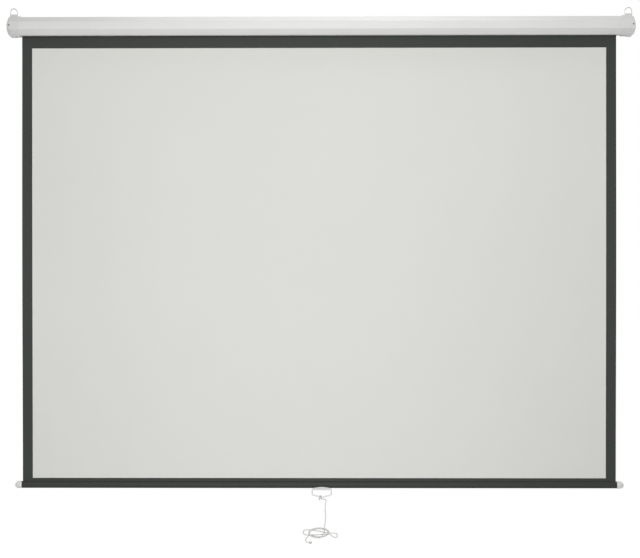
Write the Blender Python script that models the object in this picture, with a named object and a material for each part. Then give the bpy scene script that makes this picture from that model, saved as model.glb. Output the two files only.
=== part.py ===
# Pull down projector screen: an octagonal case with a spring roller and a ratchet,
# a white sheet with black borders, a weight bar, a pull handle and a cord in a hank.
# X runs along the case, the front faces -Y, Z is up, and all sizes are in metres.
# The origin lies midway between the two points where the hanger rings hang on their hooks.

import math

import bmesh
import bpy
from mathutils import Matrix, Vector

# Gap between pieces that touch on the real object
GAP = 0.0003

# Shares of a dome's length where its sections lie, closer together where it curves more
DOME_STATIONS = (0, 0.2, 0.4, 0.6, 0.8, 0.92, 1)
CAVITY_STATIONS = (0.6, 0.4, 0.2)
BAR_CAP_STATIONS = (0, 0.35, 0.6, 0.78, 0.9, 0.97, 1)

# Screen sheet
VIEW_WIDTH = 2.032
VIEW_HEIGHT = 1.524
SIDE_BORDER = 0.0355
TOP_BORDER = 0.0425
BOTTOM_BORDER = 0.0113
SHEET_THICKNESS = 0.00045
SHEET_OFFSET_X = -0.0071
WRAP_TURNS = 1.75
WRAP_PITCH = 0.0009

# Case and its place under the hanger rings
CASE_FLATS = 0.0650
CASE_WALL = 0.0012
CASE_BLUNT = 0.0016
CASE_DROP = 0.0628
SLOT_FRONT = 0.0020
SLOT_REAR = 0.0112
SLOT_LIP = 0.0030
END_MARGIN_LEFT = 0.0317
END_MARGIN_RIGHT = 0.0459

# Moulded end caps
CAP_WALL = 0.0025
CAP_SHEET_CLEARANCE = 0.0008
CAP_BLUNT = 0.0035
DOME_LENGTH = 0.0160
DOME_END_HALF = 0.0170
DOME_CURVE = 2.2
CAP_LEDGE = 0.0018
EAR_RISE = 0.0085
EAR_DEPTH = 0.0090
EAR_FOOT_HALF = 0.0120
EAR_TOP_HALF = 0.0085
EAR_INSET = 0.0225
EAR_BORE_RADIUS = 0.0021
EAR_BORE_RISE = 0.0055
EAR_ROUND = 0.0025
FOOT_RISE = 0.0022
FOOT_HALF = 0.0110
FOOT_DEPTH = 0.0200

# Hanger rings
RING_WIRE = 0.0030
RING_HALF = 0.0130
RING_TOP_HALF = 0.0112
RING_CORNER = 0.0030

# Screws of the caps
SCREW_SHANK = 0.0014
SCREW_HEAD = 0.0029
SCREW_HEAD_HEIGHT = 0.0014
SCREW_LENGTH = 0.0095
FRONT_SCREW_OFFSET = 0.0045
FRONT_SCREW_RISE = 0.0010
FRONT_SEAT_FLOOR = 0.0016
LOWER_SCREW_INSET = 0.0257
LOWER_SCREW_SHIFT = 0.0055

# Support brackets
PLATE = 0.0020
TAB = 0.0015
TAB_WIDTH = 0.0100
TAB_REACH = 0.0140
OUTER_TAB_REACH = 0.0062
OUTER_TAB_SETBACK = 0.0025

# Roller
ROLLER_RADIUS = 0.0160
ROLLER_WALL = 0.0010
ROLLER_FORWARD = 0.0105
ROLLER_RISE = 0.0020
FLANGE_LIP = 0.0008
FLANGE = 0.0030
ROLLER_TURNS = 13

# Idle end
IDLE_PIN_RADIUS = 0.0030
IDLE_PLUG_LENGTH = 0.0300
BUSH_RADIUS = 0.0060
BUSH_FLANGE_RADIUS = 0.0080
BUSH_FLANGE = 0.0030
BUSH_PROUD = 0.0006
IDLE_PIN_HEAD = 0.0012
IDLE_PIN_HEAD_RADIUS = 0.0045
WEB = 0.0050
CUP_WALL = 0.0025

# Ratchet end
RATCHET_PLUG_LENGTH = 0.0345
SPEAR_RADIUS = 0.0050
SPEAR_FLAT = 0.0015
TONGUE_WIDTH = 0.0080
TONGUE_THICKNESS = 0.0030
TONGUE_TAIL = 0.0040
COLLAR_RADIUS = 0.0065
COLLAR = 0.0030
HUB_RADIUS = 0.0072
HUB_LENGTH = 0.0060
NOTCH_DEPTH = 0.0013
NOTCH_FACE = math.radians(115)
NOTCH_FLOOR = math.radians(27)
NOTCH_RAMP = math.radians(26)
HUB_STEP = math.radians(10)
PAWL_WIDTH = 0.0050
PAWL_PIVOT_RADIUS = 0.0118
PAWL_PIVOT_ANGLE = math.radians(55)
PAWL_NOSE_ANGLE = math.radians(105)
PAWL_NOSE_GAP = 0.00035
PAWL_WAIST = 0.0012
PAWL_BOSS = 0.0031
PAWL_PIN_RADIUS = 0.0014
PAWL_PIN_HEAD = 0.0023
PAWL_PIN_HEAD_HEIGHT = 0.0015
PAWL_NOSE_HALF = 0.0008
PAWL_DIP = math.radians(9)
PAWL_THROW = math.radians(24)

# Torsion spring
SPRING_WIRE = 0.0018
SPRING_RADIUS = 0.0105
SPRING_COILS = 36
COIL_POINTS = 10
SPRING_SPAN = 0.4960
SPRING_END = 0.0025
SPRING_EASE = 0.0060
BOSS_LENGTH = 0.0230
ANCHOR_BODY = 0.0120
FERRULE_FLANGE = 0.0030
FERRULE_FLANGE_RADIUS = 0.0125
FERRULE_CLEAR = 0.0100
SPEAR_PAST_FERRULE = 0.0050
ROD_PAST_ANCHOR = 0.0050
ROD_RADIUS = 0.0040

# Weight bar and hem
BAR_DEPTH = 0.0204
BAR_HEIGHT = 0.0245
BAR_WALL = 0.0013
BAR_SLOT_HALF = 0.0016
BAR_LIP = 0.0025
BAR_PAST_SHEET = 0.0030
HEM_SPREAD = 0.0004
HEM_ROD_RADIUS = 0.0020
HEM_REAR_RISE = 0.0085
BAR_CAP_LENGTH = 0.0240
BAR_CAP_PROUD = 0.0009
BAR_CAP_END_HALF = 0.0042
BAR_CAP_DROOP = 0.0015
SPIGOT_LENGTH = 0.0140
SPIGOT_HALF = 0.0048
SPIGOT_DROP = 0.0082
SPIGOT_RISE = 0.0022

# Handle and its saddle
HANDLE_X = 0.0032
HANDLE_ROD = 0.0045
HANDLE_PIN = 0.0034
HANDLE_PIN_LENGTH = 0.0050
HANDLE_HALF = 0.0342
HANDLE_SHOULDER = 0.0331
HANDLE_CORNER_DROP = 0.0200
HANDLE_DROP = 0.0300
HANDLE_TURN = 0.0040
HANDLE_CORNER = 0.0060
HANDLE_POINT = 0.0090
SADDLE_HALF = 0.0275
SADDLE_PAD = 0.0065
SADDLE_PAD_HALF = 0.0038
SADDLE_EDGE = 0.0018
SADDLE_WRAP_MIDDLE = math.radians(58)
SADDLE_WRAP_END = math.radians(34)
SADDLE_SCREW_SPREAD = 0.0090
SADDLE_SCREW_SHANK = 0.0012
SADDLE_SCREW_HEAD = 0.0024
SADDLE_SCREW_SINK = 0.0020

# Cord, its hitch, hank and end knot
CORD = 0.0035
KNOT_GAP = 0.0008
HITCH_START = -0.0080
HITCH_WRAPS = 2
HITCH_REACH = 0.0050
HITCH_FRONT = 0.0044
HITCH_SAG = 0.0006
BEND_RADIUS = 0.0070
BEND_REACH = 0.0116
LAYER = 0.0042
LAYERS_BEFORE_OVAL = 1.0
LAYERS_AFTER_OVAL = 1.6
HANK_SHIFT = -0.0103
HANK_DROP = 0.1241
HANK_ENTRY_X = 0.0205
HANK_ENTRY_Z = 0.0246
OVAL_TURNS = 3
OVAL_HALF_WIDTH = 0.0360
OVAL_HALF_HEIGHT = 0.0168
OVAL_SQUEEZE = 0.0026
LEFT_EAR_REACH = 0.0556
LEFT_EAR_WIDTH = 0.0110
LEFT_EAR_HEIGHT = 0.0090
RIGHT_EAR_REACH = 0.0659
RIGHT_EAR_RADIUS = 0.0076
RIGHT_EAR_DROP = 0.0113
RETURN_X = 0.0338
RETURN_Z = -0.0066
HANK_EXIT_X = -0.0222
HANK_EXIT_Z = -0.0104
LOOP_POINTS = 24
END_KNOT_WRAPS = 1

# Points of the hitch's short end, from where its first turn starts
HITCH_END_WAY = ((-0.0004, 0.0050, -0.0086), (-0.0006, 0.0050, -0.0052), (-0.0004, 0.0037, -0.0019))

# Way down of the cord: distance along X from the hitch, and share of the fall
DROP_WAY = (
    (0.0076, 0.20),
    (0.0066, 0.36),
    (0.0078, 0.50),
    (0.0084, 0.65),
    (0.0078, 0.78),
    (0.0062, 0.89),
)

# Way of the tail from the hank, in X and Z
TAIL_WAY = (
    (-0.0105, -0.0038),
    (-0.0180, -0.0102),
    (-0.0216, -0.0170),
    (-0.0208, -0.0226),
    (-0.0175, -0.0258),
    (-0.0145, -0.0264),
)

# Travel of the bar, which stops this far below the case
PARKING_GAP = 0.0080

# Places that follow from the sizes above
SHEET_WIDTH = VIEW_WIDTH + 2 * SIDE_BORDER
SHEET_LEFT = SHEET_OFFSET_X - SHEET_WIDTH / 2
SHEET_RIGHT = SHEET_OFFSET_X + SHEET_WIDTH / 2
CASE_LEFT = SHEET_LEFT - END_MARGIN_LEFT
CASE_RIGHT = SHEET_RIGHT + END_MARGIN_RIGHT
CAP_OVERLAP = END_MARGIN_LEFT - CAP_SHEET_CLEARANCE
CASE_HALF = CASE_FLATS / 2
CASE_Z = -CASE_DROP
CASE_BOTTOM = CASE_Z - CASE_HALF
PLATE_HALF = CASE_HALF - GAP
CAP_HALF = CASE_HALF + GAP + CAP_WALL
CAP_CAVITY_HALF = CASE_HALF + GAP - CAP_LEDGE
FRONT_SCREW_SEAT = CAP_CAVITY_HALF + FRONT_SEAT_FLOOR
OUTER_TAB_FACE = CAP_CAVITY_HALF - OUTER_TAB_SETBACK
ROLLER_Y = -ROLLER_FORWARD
ROLLER_Z = CASE_Z + ROLLER_RISE
WRAP_RADIUS = ROLLER_RADIUS + GAP + SHEET_THICKNESS / 2 + WRAP_PITCH * WRAP_TURNS
SHEET_Y = ROLLER_Y + WRAP_RADIUS
WHITE_TOP = CASE_BOTTOM - TOP_BORDER
WHITE_BOTTOM = WHITE_TOP - VIEW_HEIGHT
BAR_TOP = WHITE_BOTTOM - BOTTOM_BORDER
BAR_Z = BAR_TOP - BAR_HEIGHT / 2
BAR_Y = SHEET_Y + HEM_SPREAD
BAR_BOTTOM = BAR_Z - BAR_HEIGHT / 2
BAR_LEFT = SHEET_LEFT - BAR_PAST_SHEET
BAR_RIGHT = SHEET_RIGHT + BAR_PAST_SHEET
TRAVEL = CASE_BOTTOM - BAR_TOP - PARKING_GAP
PIN_Z = BAR_BOTTOM - GAP - SADDLE_PAD / 2
TIP = Vector((HANDLE_X, BAR_Y, PIN_Z - HANDLE_DROP))

# Stations along the case: each end has its plate, then the cap's dome
LEFT_PLATE = CASE_LEFT - GAP
RIGHT_PLATE = CASE_RIGHT + GAP
IDLE_FLANGE_LEFT = LEFT_PLATE + GAP + BUSH_FLANGE + GAP
TUBE_LEFT = IDLE_FLANGE_LEFT + FLANGE + GAP
HUB_RIGHT = RIGHT_PLATE - GAP - COLLAR - GAP
HUB_LEFT = HUB_RIGHT - HUB_LENGTH
RATCHET_FLANGE_RIGHT = HUB_LEFT - GAP
TUBE_RIGHT = RATCHET_FLANGE_RIGHT - FLANGE - GAP
RATCHET_PLUG_LEFT = TUBE_RIGHT - RATCHET_PLUG_LENGTH
FERRULE_RIGHT = RATCHET_PLUG_LEFT - FERRULE_CLEAR
FERRULE_SEAT = FERRULE_RIGHT - FERRULE_FLANGE
SPEAR_LEFT = FERRULE_SEAT - BOSS_LENGTH - SPEAR_PAST_FERRULE
SPRING_RIGHT = FERRULE_SEAT - GAP
SPRING_LEFT = SPRING_RIGHT - SPRING_SPAN
ANCHOR_SEAT = SPRING_LEFT - GAP


# Colours are written as sRGB and turned to the linear values that shaders use
def linear(code):
    """The linear colour of a six-digit sRGB code."""
    parts = [int(code[i : i + 2], 16) / 255 for i in (0, 2, 4)]
    return [p / 12.92 if p <= 0.04045 else ((p + 0.055) / 1.055) ** 2.4 for p in parts]


def material(name, code, roughness, metallic=0.0):
    """A plain surface of one colour."""
    made = bpy.data.materials.new(name)
    made.use_nodes = True
    shader = made.node_tree.nodes["Principled BSDF"]
    shader.inputs["Base Color"].default_value = linear(code) + [1.0]
    shader.inputs["Roughness"].default_value = roughness
    shader.inputs["Metallic"].default_value = metallic
    made.diffuse_color = linear(code) + [1.0]
    return made


def add_object(name, data, finish):
    """An object in the scene, with its own copy of the finish."""
    made = bpy.data.objects.new(name, data)
    own = finish.copy()
    own.name = name + "_finish"
    data.materials.append(own)
    bpy.context.scene.collection.objects.link(made)
    return made


def solid(name, bm, finish, smooth_angle=None):
    """An object from a closed mesh, with its faces turned outwards."""
    bmesh.ops.recalc_face_normals(bm, faces=bm.faces)
    mesh = bpy.data.meshes.new(name)
    bm.to_mesh(mesh)
    bm.free()
    if smooth_angle is not None:
        mesh.shade_smooth()
        mesh.set_sharp_from_angle(angle=math.radians(smooth_angle))
    return add_object(name, mesh, finish)


def as_tool(tool):
    """A helper that shapes another object and isn't a piece itself."""
    tool.hide_render = True
    tool.display_type = "WIRE"
    return tool


def cut(target, tool):
    """Takes the tool's shape out of the target."""
    step = target.modifiers.new("cut_" + tool.name, "BOOLEAN")
    step.operation = "DIFFERENCE"
    step.solver = "EXACT"
    step.object = as_tool(tool)


def unite(target, tool):
    """Joins the tool's shape to the target."""
    step = target.modifiers.new("unite_" + tool.name, "BOOLEAN")
    step.operation = "UNION"
    step.solver = "EXACT"
    step.object = as_tool(tool)


def loft(name, sections, finish, smooth_angle=None):
    """A solid through closed sections with the same number of points, flat at both ends."""
    bm = bmesh.new()
    rings = [[bm.verts.new(p) for p in section] for section in sections]
    count = len(rings[0])
    for near, far in zip(rings, rings[1:]):
        for i in range(count):
            j = (i + 1) % count
            bm.faces.new((near[i], near[j], far[j], far[i]))
    bm.faces.new(rings[0])
    bm.faces.new(rings[-1])
    return solid(name, bm, finish, smooth_angle)


def prism(name, outline, start, end, finish, smooth_angle=None):
    """An outline in Y and Z, drawn out along X from start to end."""
    sections = [[(x, y, z) for y, z in outline] for x in (start, end)]
    return loft(name, sections, finish, smooth_angle)


def upright(name, outline, front, back, finish, smooth_angle=None):
    """An outline in X and Z, drawn out along Y from front to back."""
    sections = [[(x, y, z) for x, z in outline] for y in (front, back)]
    return loft(name, sections, finish, smooth_angle)


def turned(name, profile, finish, steps=32, smooth_angle=40):
    """A profile of (along, radius) points turned round the object's own X axis.

    The profile is a closed loop. Points of no radius lie on the axis.
    """
    bm = bmesh.new()
    verts = [bm.verts.new((x, r, 0)) for x, r in profile]
    edges = []
    for a, b in zip(verts, verts[1:] + verts[:1]):
        if a.co.y > 0 or b.co.y > 0:
            edges.append(bm.edges.new((a, b)))
    bmesh.ops.spin(
        bm,
        geom=verts + edges,
        cent=(0, 0, 0),
        axis=(1, 0, 0),
        angle=2 * math.pi,
        steps=steps,
        use_merge=True,
    )
    bmesh.ops.remove_doubles(bm, verts=bm.verts, dist=1e-7)
    return solid(name, bm, finish, smooth_angle)


def on_roller_axis(made):
    """Puts a turned piece on the roller's axis."""
    made.location = (0, ROLLER_Y, ROLLER_Z)
    return made


def rod(name, start, end, radius, finish, steps=20):
    """A plain round bar between two points."""
    start, end = Vector(start), Vector(end)
    along = end - start
    made = turned(
        name,
        [(0, 0), (0, radius), (along.length, radius), (along.length, 0)],
        finish,
        steps,
    )
    made.rotation_mode = "QUATERNION"
    made.rotation_quaternion = along.to_track_quat("X", "Z")
    made.location = start
    return made


def screw(name, seat, direction, head, head_height, shank, length, finish):
    """A pan-head screw: its head sits on the seat and its shank runs along the direction."""
    edge = head_height * 0.45
    made = turned(
        name,
        [
            (-head_height, 0),
            (-head_height, head * 0.62),
            (-edge, head),
            (0, head),
            (0, shank),
            (length - shank, shank),
            (length, shank * 0.3),
            (length, 0),
        ],
        finish,
        16,
    )
    made.rotation_mode = "QUATERNION"
    made.rotation_quaternion = Vector(direction).to_track_quat("X", "Z")
    made.location = seat
    return made


def screw_hole(name, seat, direction, sink, head, shank, length, finish):
    """A tool for a sunk screw: wide down to the seat, then narrow along the direction."""
    made = turned(
        name,
        [(-sink, 0), (-sink, head), (0, head), (0, shank), (length, shank), (length, 0)],
        finish,
        20,
    )
    made.rotation_mode = "QUATERNION"
    made.rotation_quaternion = Vector(direction).to_track_quat("X", "Z")
    made.location = seat
    return made


def octagon(half, blunt):
    """A regular octagon by its half width across flats, with each corner blunted."""
    side = half * math.tan(math.pi / 8)
    corners = [
        (-side, -half),
        (-half, -side),
        (-half, side),
        (-side, half),
        (side, half),
        (half, side),
        (half, -side),
        (side, -half),
    ]
    points = []
    for i, corner in enumerate(corners):
        here = Vector(corner)
        before = Vector(corners[i - 1])
        after = Vector(corners[(i + 1) % len(corners)])
        points.append(here + (before - here).normalized() * blunt)
        points.append(here + (after - here).normalized() * blunt)
    return [(p.x, p.y) for p in points]


def beside(path, distance):
    """An open path moved sideways by a distance, to the right of its run, with mitred corners."""
    points = [Vector(p) for p in path]
    moved = []
    for i, here in enumerate(points):
        runs = []
        if i > 0:
            runs.append((here - points[i - 1]).normalized())
        if i < len(points) - 1:
            runs.append((points[i + 1] - here).normalized())
        sides = [Vector((run.y, -run.x)) for run in runs]
        middle = sum(sides, Vector((0, 0))).normalized()
        moved.append(here + middle * (distance / middle.dot(sides[0])))
    return [(p.x, p.y) for p in moved]


def strip_outline(path, thickness):
    """The outline of a strip bent along an open path, its thickness to the right of the run."""
    return list(path) + beside(path, thickness)[::-1]


def band_outline(path, thickness):
    """The outline of a strip bent along an open path that runs in its middle."""
    return beside(path, thickness / 2) + beside(path, -thickness / 2)[::-1]


def filleted(points, radii, steps):
    """A path with its inner corners rounded by arcs of the given radii."""
    points = [Vector(p) for p in points]
    path = [points[0]]
    for before, here, after, radius in zip(points, points[1:], points[2:], radii):
        come = (before - here).normalized()
        leave = (after - here).normalized()
        half_angle = come.angle(leave) / 2
        reach = radius / math.tan(half_angle)
        centre = here + (come + leave).normalized() * (radius / math.sin(half_angle))
        first = here + come * reach - centre
        last = here + leave * reach - centre
        sweep = first.angle(last)
        for k in range(steps + 1):
            share = k / steps
            weight_first = math.sin((1 - share) * sweep) / math.sin(sweep)
            weight_last = math.sin(share * sweep) / math.sin(sweep)
            path.append(centre + first * weight_first + last * weight_last)
    path.append(points[-1])
    return path


def swept(name, path, radii, sides, finish):
    """A round bar along a path whose radius may change from point to point."""
    path = [Vector(p) for p in path]
    runs = []
    for i in range(len(path)):
        before = path[max(i - 1, 0)]
        after = path[min(i + 1, len(path) - 1)]
        runs.append((after - before).normalized())
    across = runs[0].orthogonal().normalized()
    sections = []
    for point, run, radius in zip(path, runs, radii):
        across = (across - run * across.dot(run)).normalized()
        other = run.cross(across)
        ring = []
        for k in range(sides):
            turn = 2 * math.pi * k / sides
            ring.append(point + (across * math.cos(turn) + other * math.sin(turn)) * radius)
        sections.append(ring)
    return loft(name, sections, finish, 40)


def tube(name, points, diameter, finish, resolution, closed=False):
    """A round wire or cord of one diameter through its points."""
    data = bpy.data.curves.new(name, "CURVE")
    data.dimensions = "3D"
    data.bevel_depth = diameter / 2
    data.bevel_resolution = resolution
    data.use_fill_caps = not closed
    spline = data.splines.new("POLY")
    spline.points.add(len(points) - 1)
    for place, point in zip(spline.points, points):
        place.co = (*point, 1)
    spline.use_cyclic_u = closed
    return add_object(name, data, finish)


def smooth_route(route, spacing):
    """Points at even spacing on a smooth curve through the route's points."""
    route = [Vector(p) for p in route]
    ends = [2 * route[0] - route[1]] + route + [2 * route[-1] - route[-2]]
    fine = [route[0]]
    steps = 40
    for a, b, c, d in zip(ends, ends[1:], ends[2:], ends[3:]):
        for k in range(1, steps + 1):
            t = k / steps
            fine.append(
                0.5
                * (
                    2 * b
                    + (c - a) * t
                    + (2 * a - 5 * b + 4 * c - d) * t**2
                    + (3 * b - a - 3 * c + d) * t**3
                )
            )
    lengths = [(q - p).length for p, q in zip(fine, fine[1:])]
    count = max(2, round(sum(lengths) / spacing))
    step = sum(lengths) / count
    even = [fine[0]]
    passed = 0.0
    for p, q, length in zip(fine, fine[1:], lengths):
        while len(even) < count and passed + length >= step * len(even):
            even.append(p.lerp(q, (step * len(even) - passed) / length))
        passed += length
    return even + [fine[-1]]


def path_length(points):
    """The length of a path through its points."""
    return sum((Vector(q) - Vector(p)).length for p, q in zip(points, points[1:]))


def least_self_gap(points, diameter):
    """The least gap between a tube's surface and itself, away from its own run."""
    points = [Vector(p) for p in points]
    place = [0.0]
    for p, q in zip(points, points[1:]):
        place.append(place[-1] + (q - p).length)
    least = math.inf
    for i, p in enumerate(points):
        for j in range(i + 1, len(points)):
            if place[j] - place[i] > 2.5 * diameter:
                least = min(least, (points[j] - p).length - diameter)
    return least


def slab(name, columns, rows, centre_y, thickness, finish):
    """A flat upright sheet with edges along its columns in X and its rows in Z."""
    bm = bmesh.new()
    sides = []
    for y in (centre_y - thickness / 2, centre_y + thickness / 2):
        sides.append([[bm.verts.new((x, y, z)) for z in rows] for x in columns])
    for grid in sides:
        for i in range(len(columns) - 1):
            for j in range(len(rows) - 1):
                bm.faces.new((grid[i][j], grid[i + 1][j], grid[i + 1][j + 1], grid[i][j + 1]))
    front, back = sides
    for i in range(len(columns) - 1):
        for j in (0, len(rows) - 1):
            bm.faces.new((front[i][j], front[i + 1][j], back[i + 1][j], back[i][j]))
    for j in range(len(rows) - 1):
        for i in (0, len(columns) - 1):
            bm.faces.new((front[i][j], front[i][j + 1], back[i][j + 1], back[i][j]))
    return solid(name, bm, finish)


# Case: one strip of steel roll-formed to an octagon, with a lipped slot below
def make_case(steel):
    path = (
        [(SLOT_FRONT, SLOT_LIP - CASE_HALF), (SLOT_FRONT, -CASE_HALF)]
        + octagon(CASE_HALF, CASE_BLUNT)
        + [(SLOT_REAR, -CASE_HALF), (SLOT_REAR, SLOT_LIP - CASE_HALF)]
    )
    outline = [(y, z + CASE_Z) for y, z in strip_outline(path, CASE_WALL)]
    return prism("housing", outline, CASE_LEFT, CASE_RIGHT, steel)


def ring_of(x, half, blunt):
    """An octagonal section of the case or a cap at one place along it."""
    return [(x, y, z + CASE_Z) for y, z in octagon(half, blunt)]


def dome_half(share):
    """Half the dome's width across flats, at a share of its length."""
    return DOME_END_HALF + (CAP_HALF - DOME_END_HALF) * (1 - share**DOME_CURVE)


def make_cap(side, plate_x, end_x, plastic):
    """A moulded cap: a sleeve over the case's end and a tapered dome, hollow inside."""
    outward = 1 if side == "right" else -1
    dome_x = plate_x + outward * PLATE
    mouth_x = end_x - outward * CAP_OVERLAP
    bore = CASE_HALF + GAP
    inner_end = 1 - CAP_WALL / DOME_LENGTH
    sections = []
    for share in (inner_end, *CAVITY_STATIONS, GAP / DOME_LENGTH):
        half = min(CAP_CAVITY_HALF, dome_half(share) - CAP_WALL)
        sections.append(ring_of(dome_x + outward * share * DOME_LENGTH, half, CASE_BLUNT))
    sections.append(ring_of(dome_x + outward * GAP, bore, CASE_BLUNT))
    sections.append(ring_of(mouth_x, bore, CASE_BLUNT))
    sections.append(ring_of(mouth_x, CAP_HALF, CAP_BLUNT))
    for share in DOME_STATIONS:
        place = dome_x + outward * share * DOME_LENGTH
        sections.append(ring_of(place, dome_half(share), CAP_BLUNT))
    cap = loft("end_cap_" + side, sections, plastic, 25)

    # The ear on top carries the hanger ring, and a low pad below mirrors it
    ear_x = dome_x + outward * (DOME_LENGTH - EAR_INSET)
    top = CASE_Z + CAP_HALF
    ear_line = filleted(
        [
            (ear_x - EAR_FOOT_HALF, top - CAP_WALL / 2),
            (ear_x - EAR_TOP_HALF, top + EAR_RISE),
            (ear_x + EAR_TOP_HALF, top + EAR_RISE),
            (ear_x + EAR_FOOT_HALF, top - CAP_WALL / 2),
        ],
        [EAR_ROUND, EAR_ROUND],
        4,
    )
    ear = upright("ear_" + side, ear_line, -EAR_DEPTH / 2, EAR_DEPTH / 2, plastic)
    unite(cap, ear)
    bottom = CASE_Z - CAP_HALF
    pad_line = filleted(
        [
            (ear_x - FOOT_HALF, bottom + CAP_WALL / 2),
            (ear_x - FOOT_HALF + FOOT_RISE, bottom - FOOT_RISE),
            (ear_x + FOOT_HALF - FOOT_RISE, bottom - FOOT_RISE),
            (ear_x + FOOT_HALF, bottom + CAP_WALL / 2),
        ],
        [FOOT_RISE / 2, FOOT_RISE / 2],
        2,
    )
    unite(cap, upright("pad_" + side, pad_line, -FOOT_DEPTH / 2, FOOT_DEPTH / 2, plastic))
    bore_z = top + EAR_BORE_RISE
    past = EAR_FOOT_HALF + CAP_WALL
    bore_tool = rod(
        "ear_bore_" + side,
        (ear_x - past, 0, bore_z),
        (ear_x + past, 0, bore_z),
        EAR_BORE_RADIUS,
        plastic,
    )
    cut(cap, bore_tool)
    return cap, ear_x, bore_z


def make_ring(side, x, bore_z, wire):
    """A hanger ring: a wire loop, its straight foot through the ear and its round top up."""
    top_centre = RING_WIRE / 2 - RING_TOP_HALF
    foot = filleted(
        [
            (x - RING_TOP_HALF, top_centre),
            (x - RING_HALF, bore_z),
            (x + RING_HALF, bore_z),
            (x + RING_TOP_HALF, top_centre),
        ],
        [RING_CORNER, RING_CORNER],
        4,
    )
    line = [(px, 0, pz) for px, pz in foot]
    steps = 12
    for k in range(1, steps):
        turn = math.pi * k / steps
        line.append(
            (x + RING_TOP_HALF * math.cos(turn), 0, top_centre + RING_TOP_HALF * math.sin(turn))
        )
    ring = tube("hanger_ring_" + side, line, RING_WIRE, wire, 2, closed=True)
    return ring


def make_bracket(side, plate_x, steel):
    """A pressed plate across the case's end, with one tab turned in and one turned out."""
    outward = 1 if side == "right" else -1
    outer_x = plate_x + outward * PLATE
    middle_x = plate_x + outward * PLATE / 2
    outline = [(y, z + CASE_Z) for y, z in octagon(PLATE_HALF, CAP_BLUNT)]
    plate = prism("support_bracket_" + side, outline, plate_x, outer_x, steel)
    slant = math.sqrt(0.5)
    out_y, out_z = -slant, -slant
    along_y, along_z = slant, -slant
    far = CASE_HALF - CASE_WALL - GAP
    corners = []
    for depth, width in ((far - TAB, -1), (far - TAB, 1), (far, 1), (far, -1)):
        reach = LOWER_SCREW_SHIFT + width * TAB_WIDTH / 2
        corners.append((out_y * depth + along_y * reach, CASE_Z + out_z * depth + along_z * reach))
    inner = prism("tab_in_" + side, corners, plate_x - outward * TAB_REACH, middle_x, steel)
    unite(plate, inner)
    low = CASE_Z + FRONT_SCREW_RISE - TAB_WIDTH / 2
    corners = [
        (-OUTER_TAB_FACE, low),
        (-OUTER_TAB_FACE + TAB, low),
        (-OUTER_TAB_FACE + TAB, low + TAB_WIDTH),
        (-OUTER_TAB_FACE, low + TAB_WIDTH),
    ]
    outer = prism("tab_out_" + side, corners, middle_x, outer_x + outward * OUTER_TAB_REACH, steel)
    unite(plate, outer)
    return plate


def fasten_end(side, plate_x, cap, bracket, case, metal):
    """The two screws of one end, with their seats and holes."""
    outward = 1 if side == "right" else -1
    dome_x = plate_x + outward * PLATE
    hole = SCREW_SHANK + GAP

    front_x = dome_x + outward * FRONT_SCREW_OFFSET
    front_z = CASE_Z + FRONT_SCREW_RISE
    seat_y = -FRONT_SCREW_SEAT
    front_tool = screw_hole(
        "front_hole_" + side,
        (front_x, seat_y, front_z),
        (0, 1, 0),
        CAP_HALF + GAP - FRONT_SCREW_SEAT,
        SCREW_HEAD + 2 * GAP,
        hole,
        FRONT_SCREW_SEAT - OUTER_TAB_FACE + 2 * TAB,
        metal,
    )
    cut(cap, front_tool)
    cut(bracket, front_tool)
    screw(
        "cap_front_screw_" + side,
        (front_x, seat_y - GAP, front_z),
        (0, 1, 0),
        SCREW_HEAD,
        SCREW_HEAD_HEIGHT,
        SCREW_SHANK,
        SCREW_LENGTH,
        metal,
    )

    lower_x = dome_x + outward * (DOME_LENGTH - LOWER_SCREW_INSET)
    slant = math.sqrt(0.5)
    direction = Vector((0, slant, slant))
    shift = LOWER_SCREW_SHIFT * slant
    axis_point = Vector((lower_x, shift, CASE_Z - shift))
    hole_tool = rod(
        "lower_hole_" + side,
        axis_point - direction * (CAP_HALF + CAP_WALL),
        axis_point - direction * (CASE_HALF - CASE_WALL - 3 * TAB),
        hole,
        metal,
    )
    for piece in (cap, case, bracket):
        cut(piece, hole_tool)
    screw(
        "cap_lower_screw_" + side,
        axis_point - direction * (CAP_HALF + GAP),
        direction,
        SCREW_HEAD,
        SCREW_HEAD_HEIGHT,
        SCREW_SHANK,
        SCREW_LENGTH,
        metal,
    )


# Roller: a tube on an idle pin at the left and on the fixed spear at the right
def make_roller_tube(steel):
    inside = ROLLER_RADIUS - ROLLER_WALL
    profile = [
        (TUBE_LEFT, inside),
        (TUBE_LEFT, ROLLER_RADIUS),
        (TUBE_RIGHT, ROLLER_RADIUS),
        (TUBE_RIGHT, inside),
    ]
    return on_roller_axis(turned("roller_tube", profile, steel))


def make_leader_wrap(black):
    """The first turns of the sheet, which stay on the roller, as one spiral strip."""
    steps = math.ceil(LOOP_POINTS * WRAP_TURNS)
    path = []
    for k in range(steps + 1):
        turn = 2 * math.pi * WRAP_TURNS * k / steps
        radius = WRAP_RADIUS - WRAP_PITCH * turn / (2 * math.pi)
        path.append(
            (ROLLER_Y + radius * math.cos(turn), ROLLER_Z + radius * math.sin(turn))
        )
    outline = band_outline(path, SHEET_THICKNESS)
    return prism("leader_wrap", outline, SHEET_LEFT, SHEET_RIGHT, black, 40)


def plug_profile(flange_far, flange_near, seat, depth, bore):
    """A cup that fits in the tube, with a web and a flange: places along X and radii.

    The flange runs from flange_far to flange_near, the cup goes on from seat by depth.
    """
    body = ROLLER_RADIUS - ROLLER_WALL - GAP
    rim = ROLLER_RADIUS + FLANGE_LIP
    inward = 1 if seat > flange_far else -1
    end = seat + inward * depth
    web = flange_near + inward * WEB
    return [
        (flange_far, bore),
        (flange_far, rim),
        (flange_near, rim),
        (flange_near, body),
        (end, body),
        (end, body - CUP_WALL),
        (web, body - CUP_WALL),
        (web, bore),
    ]


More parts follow.
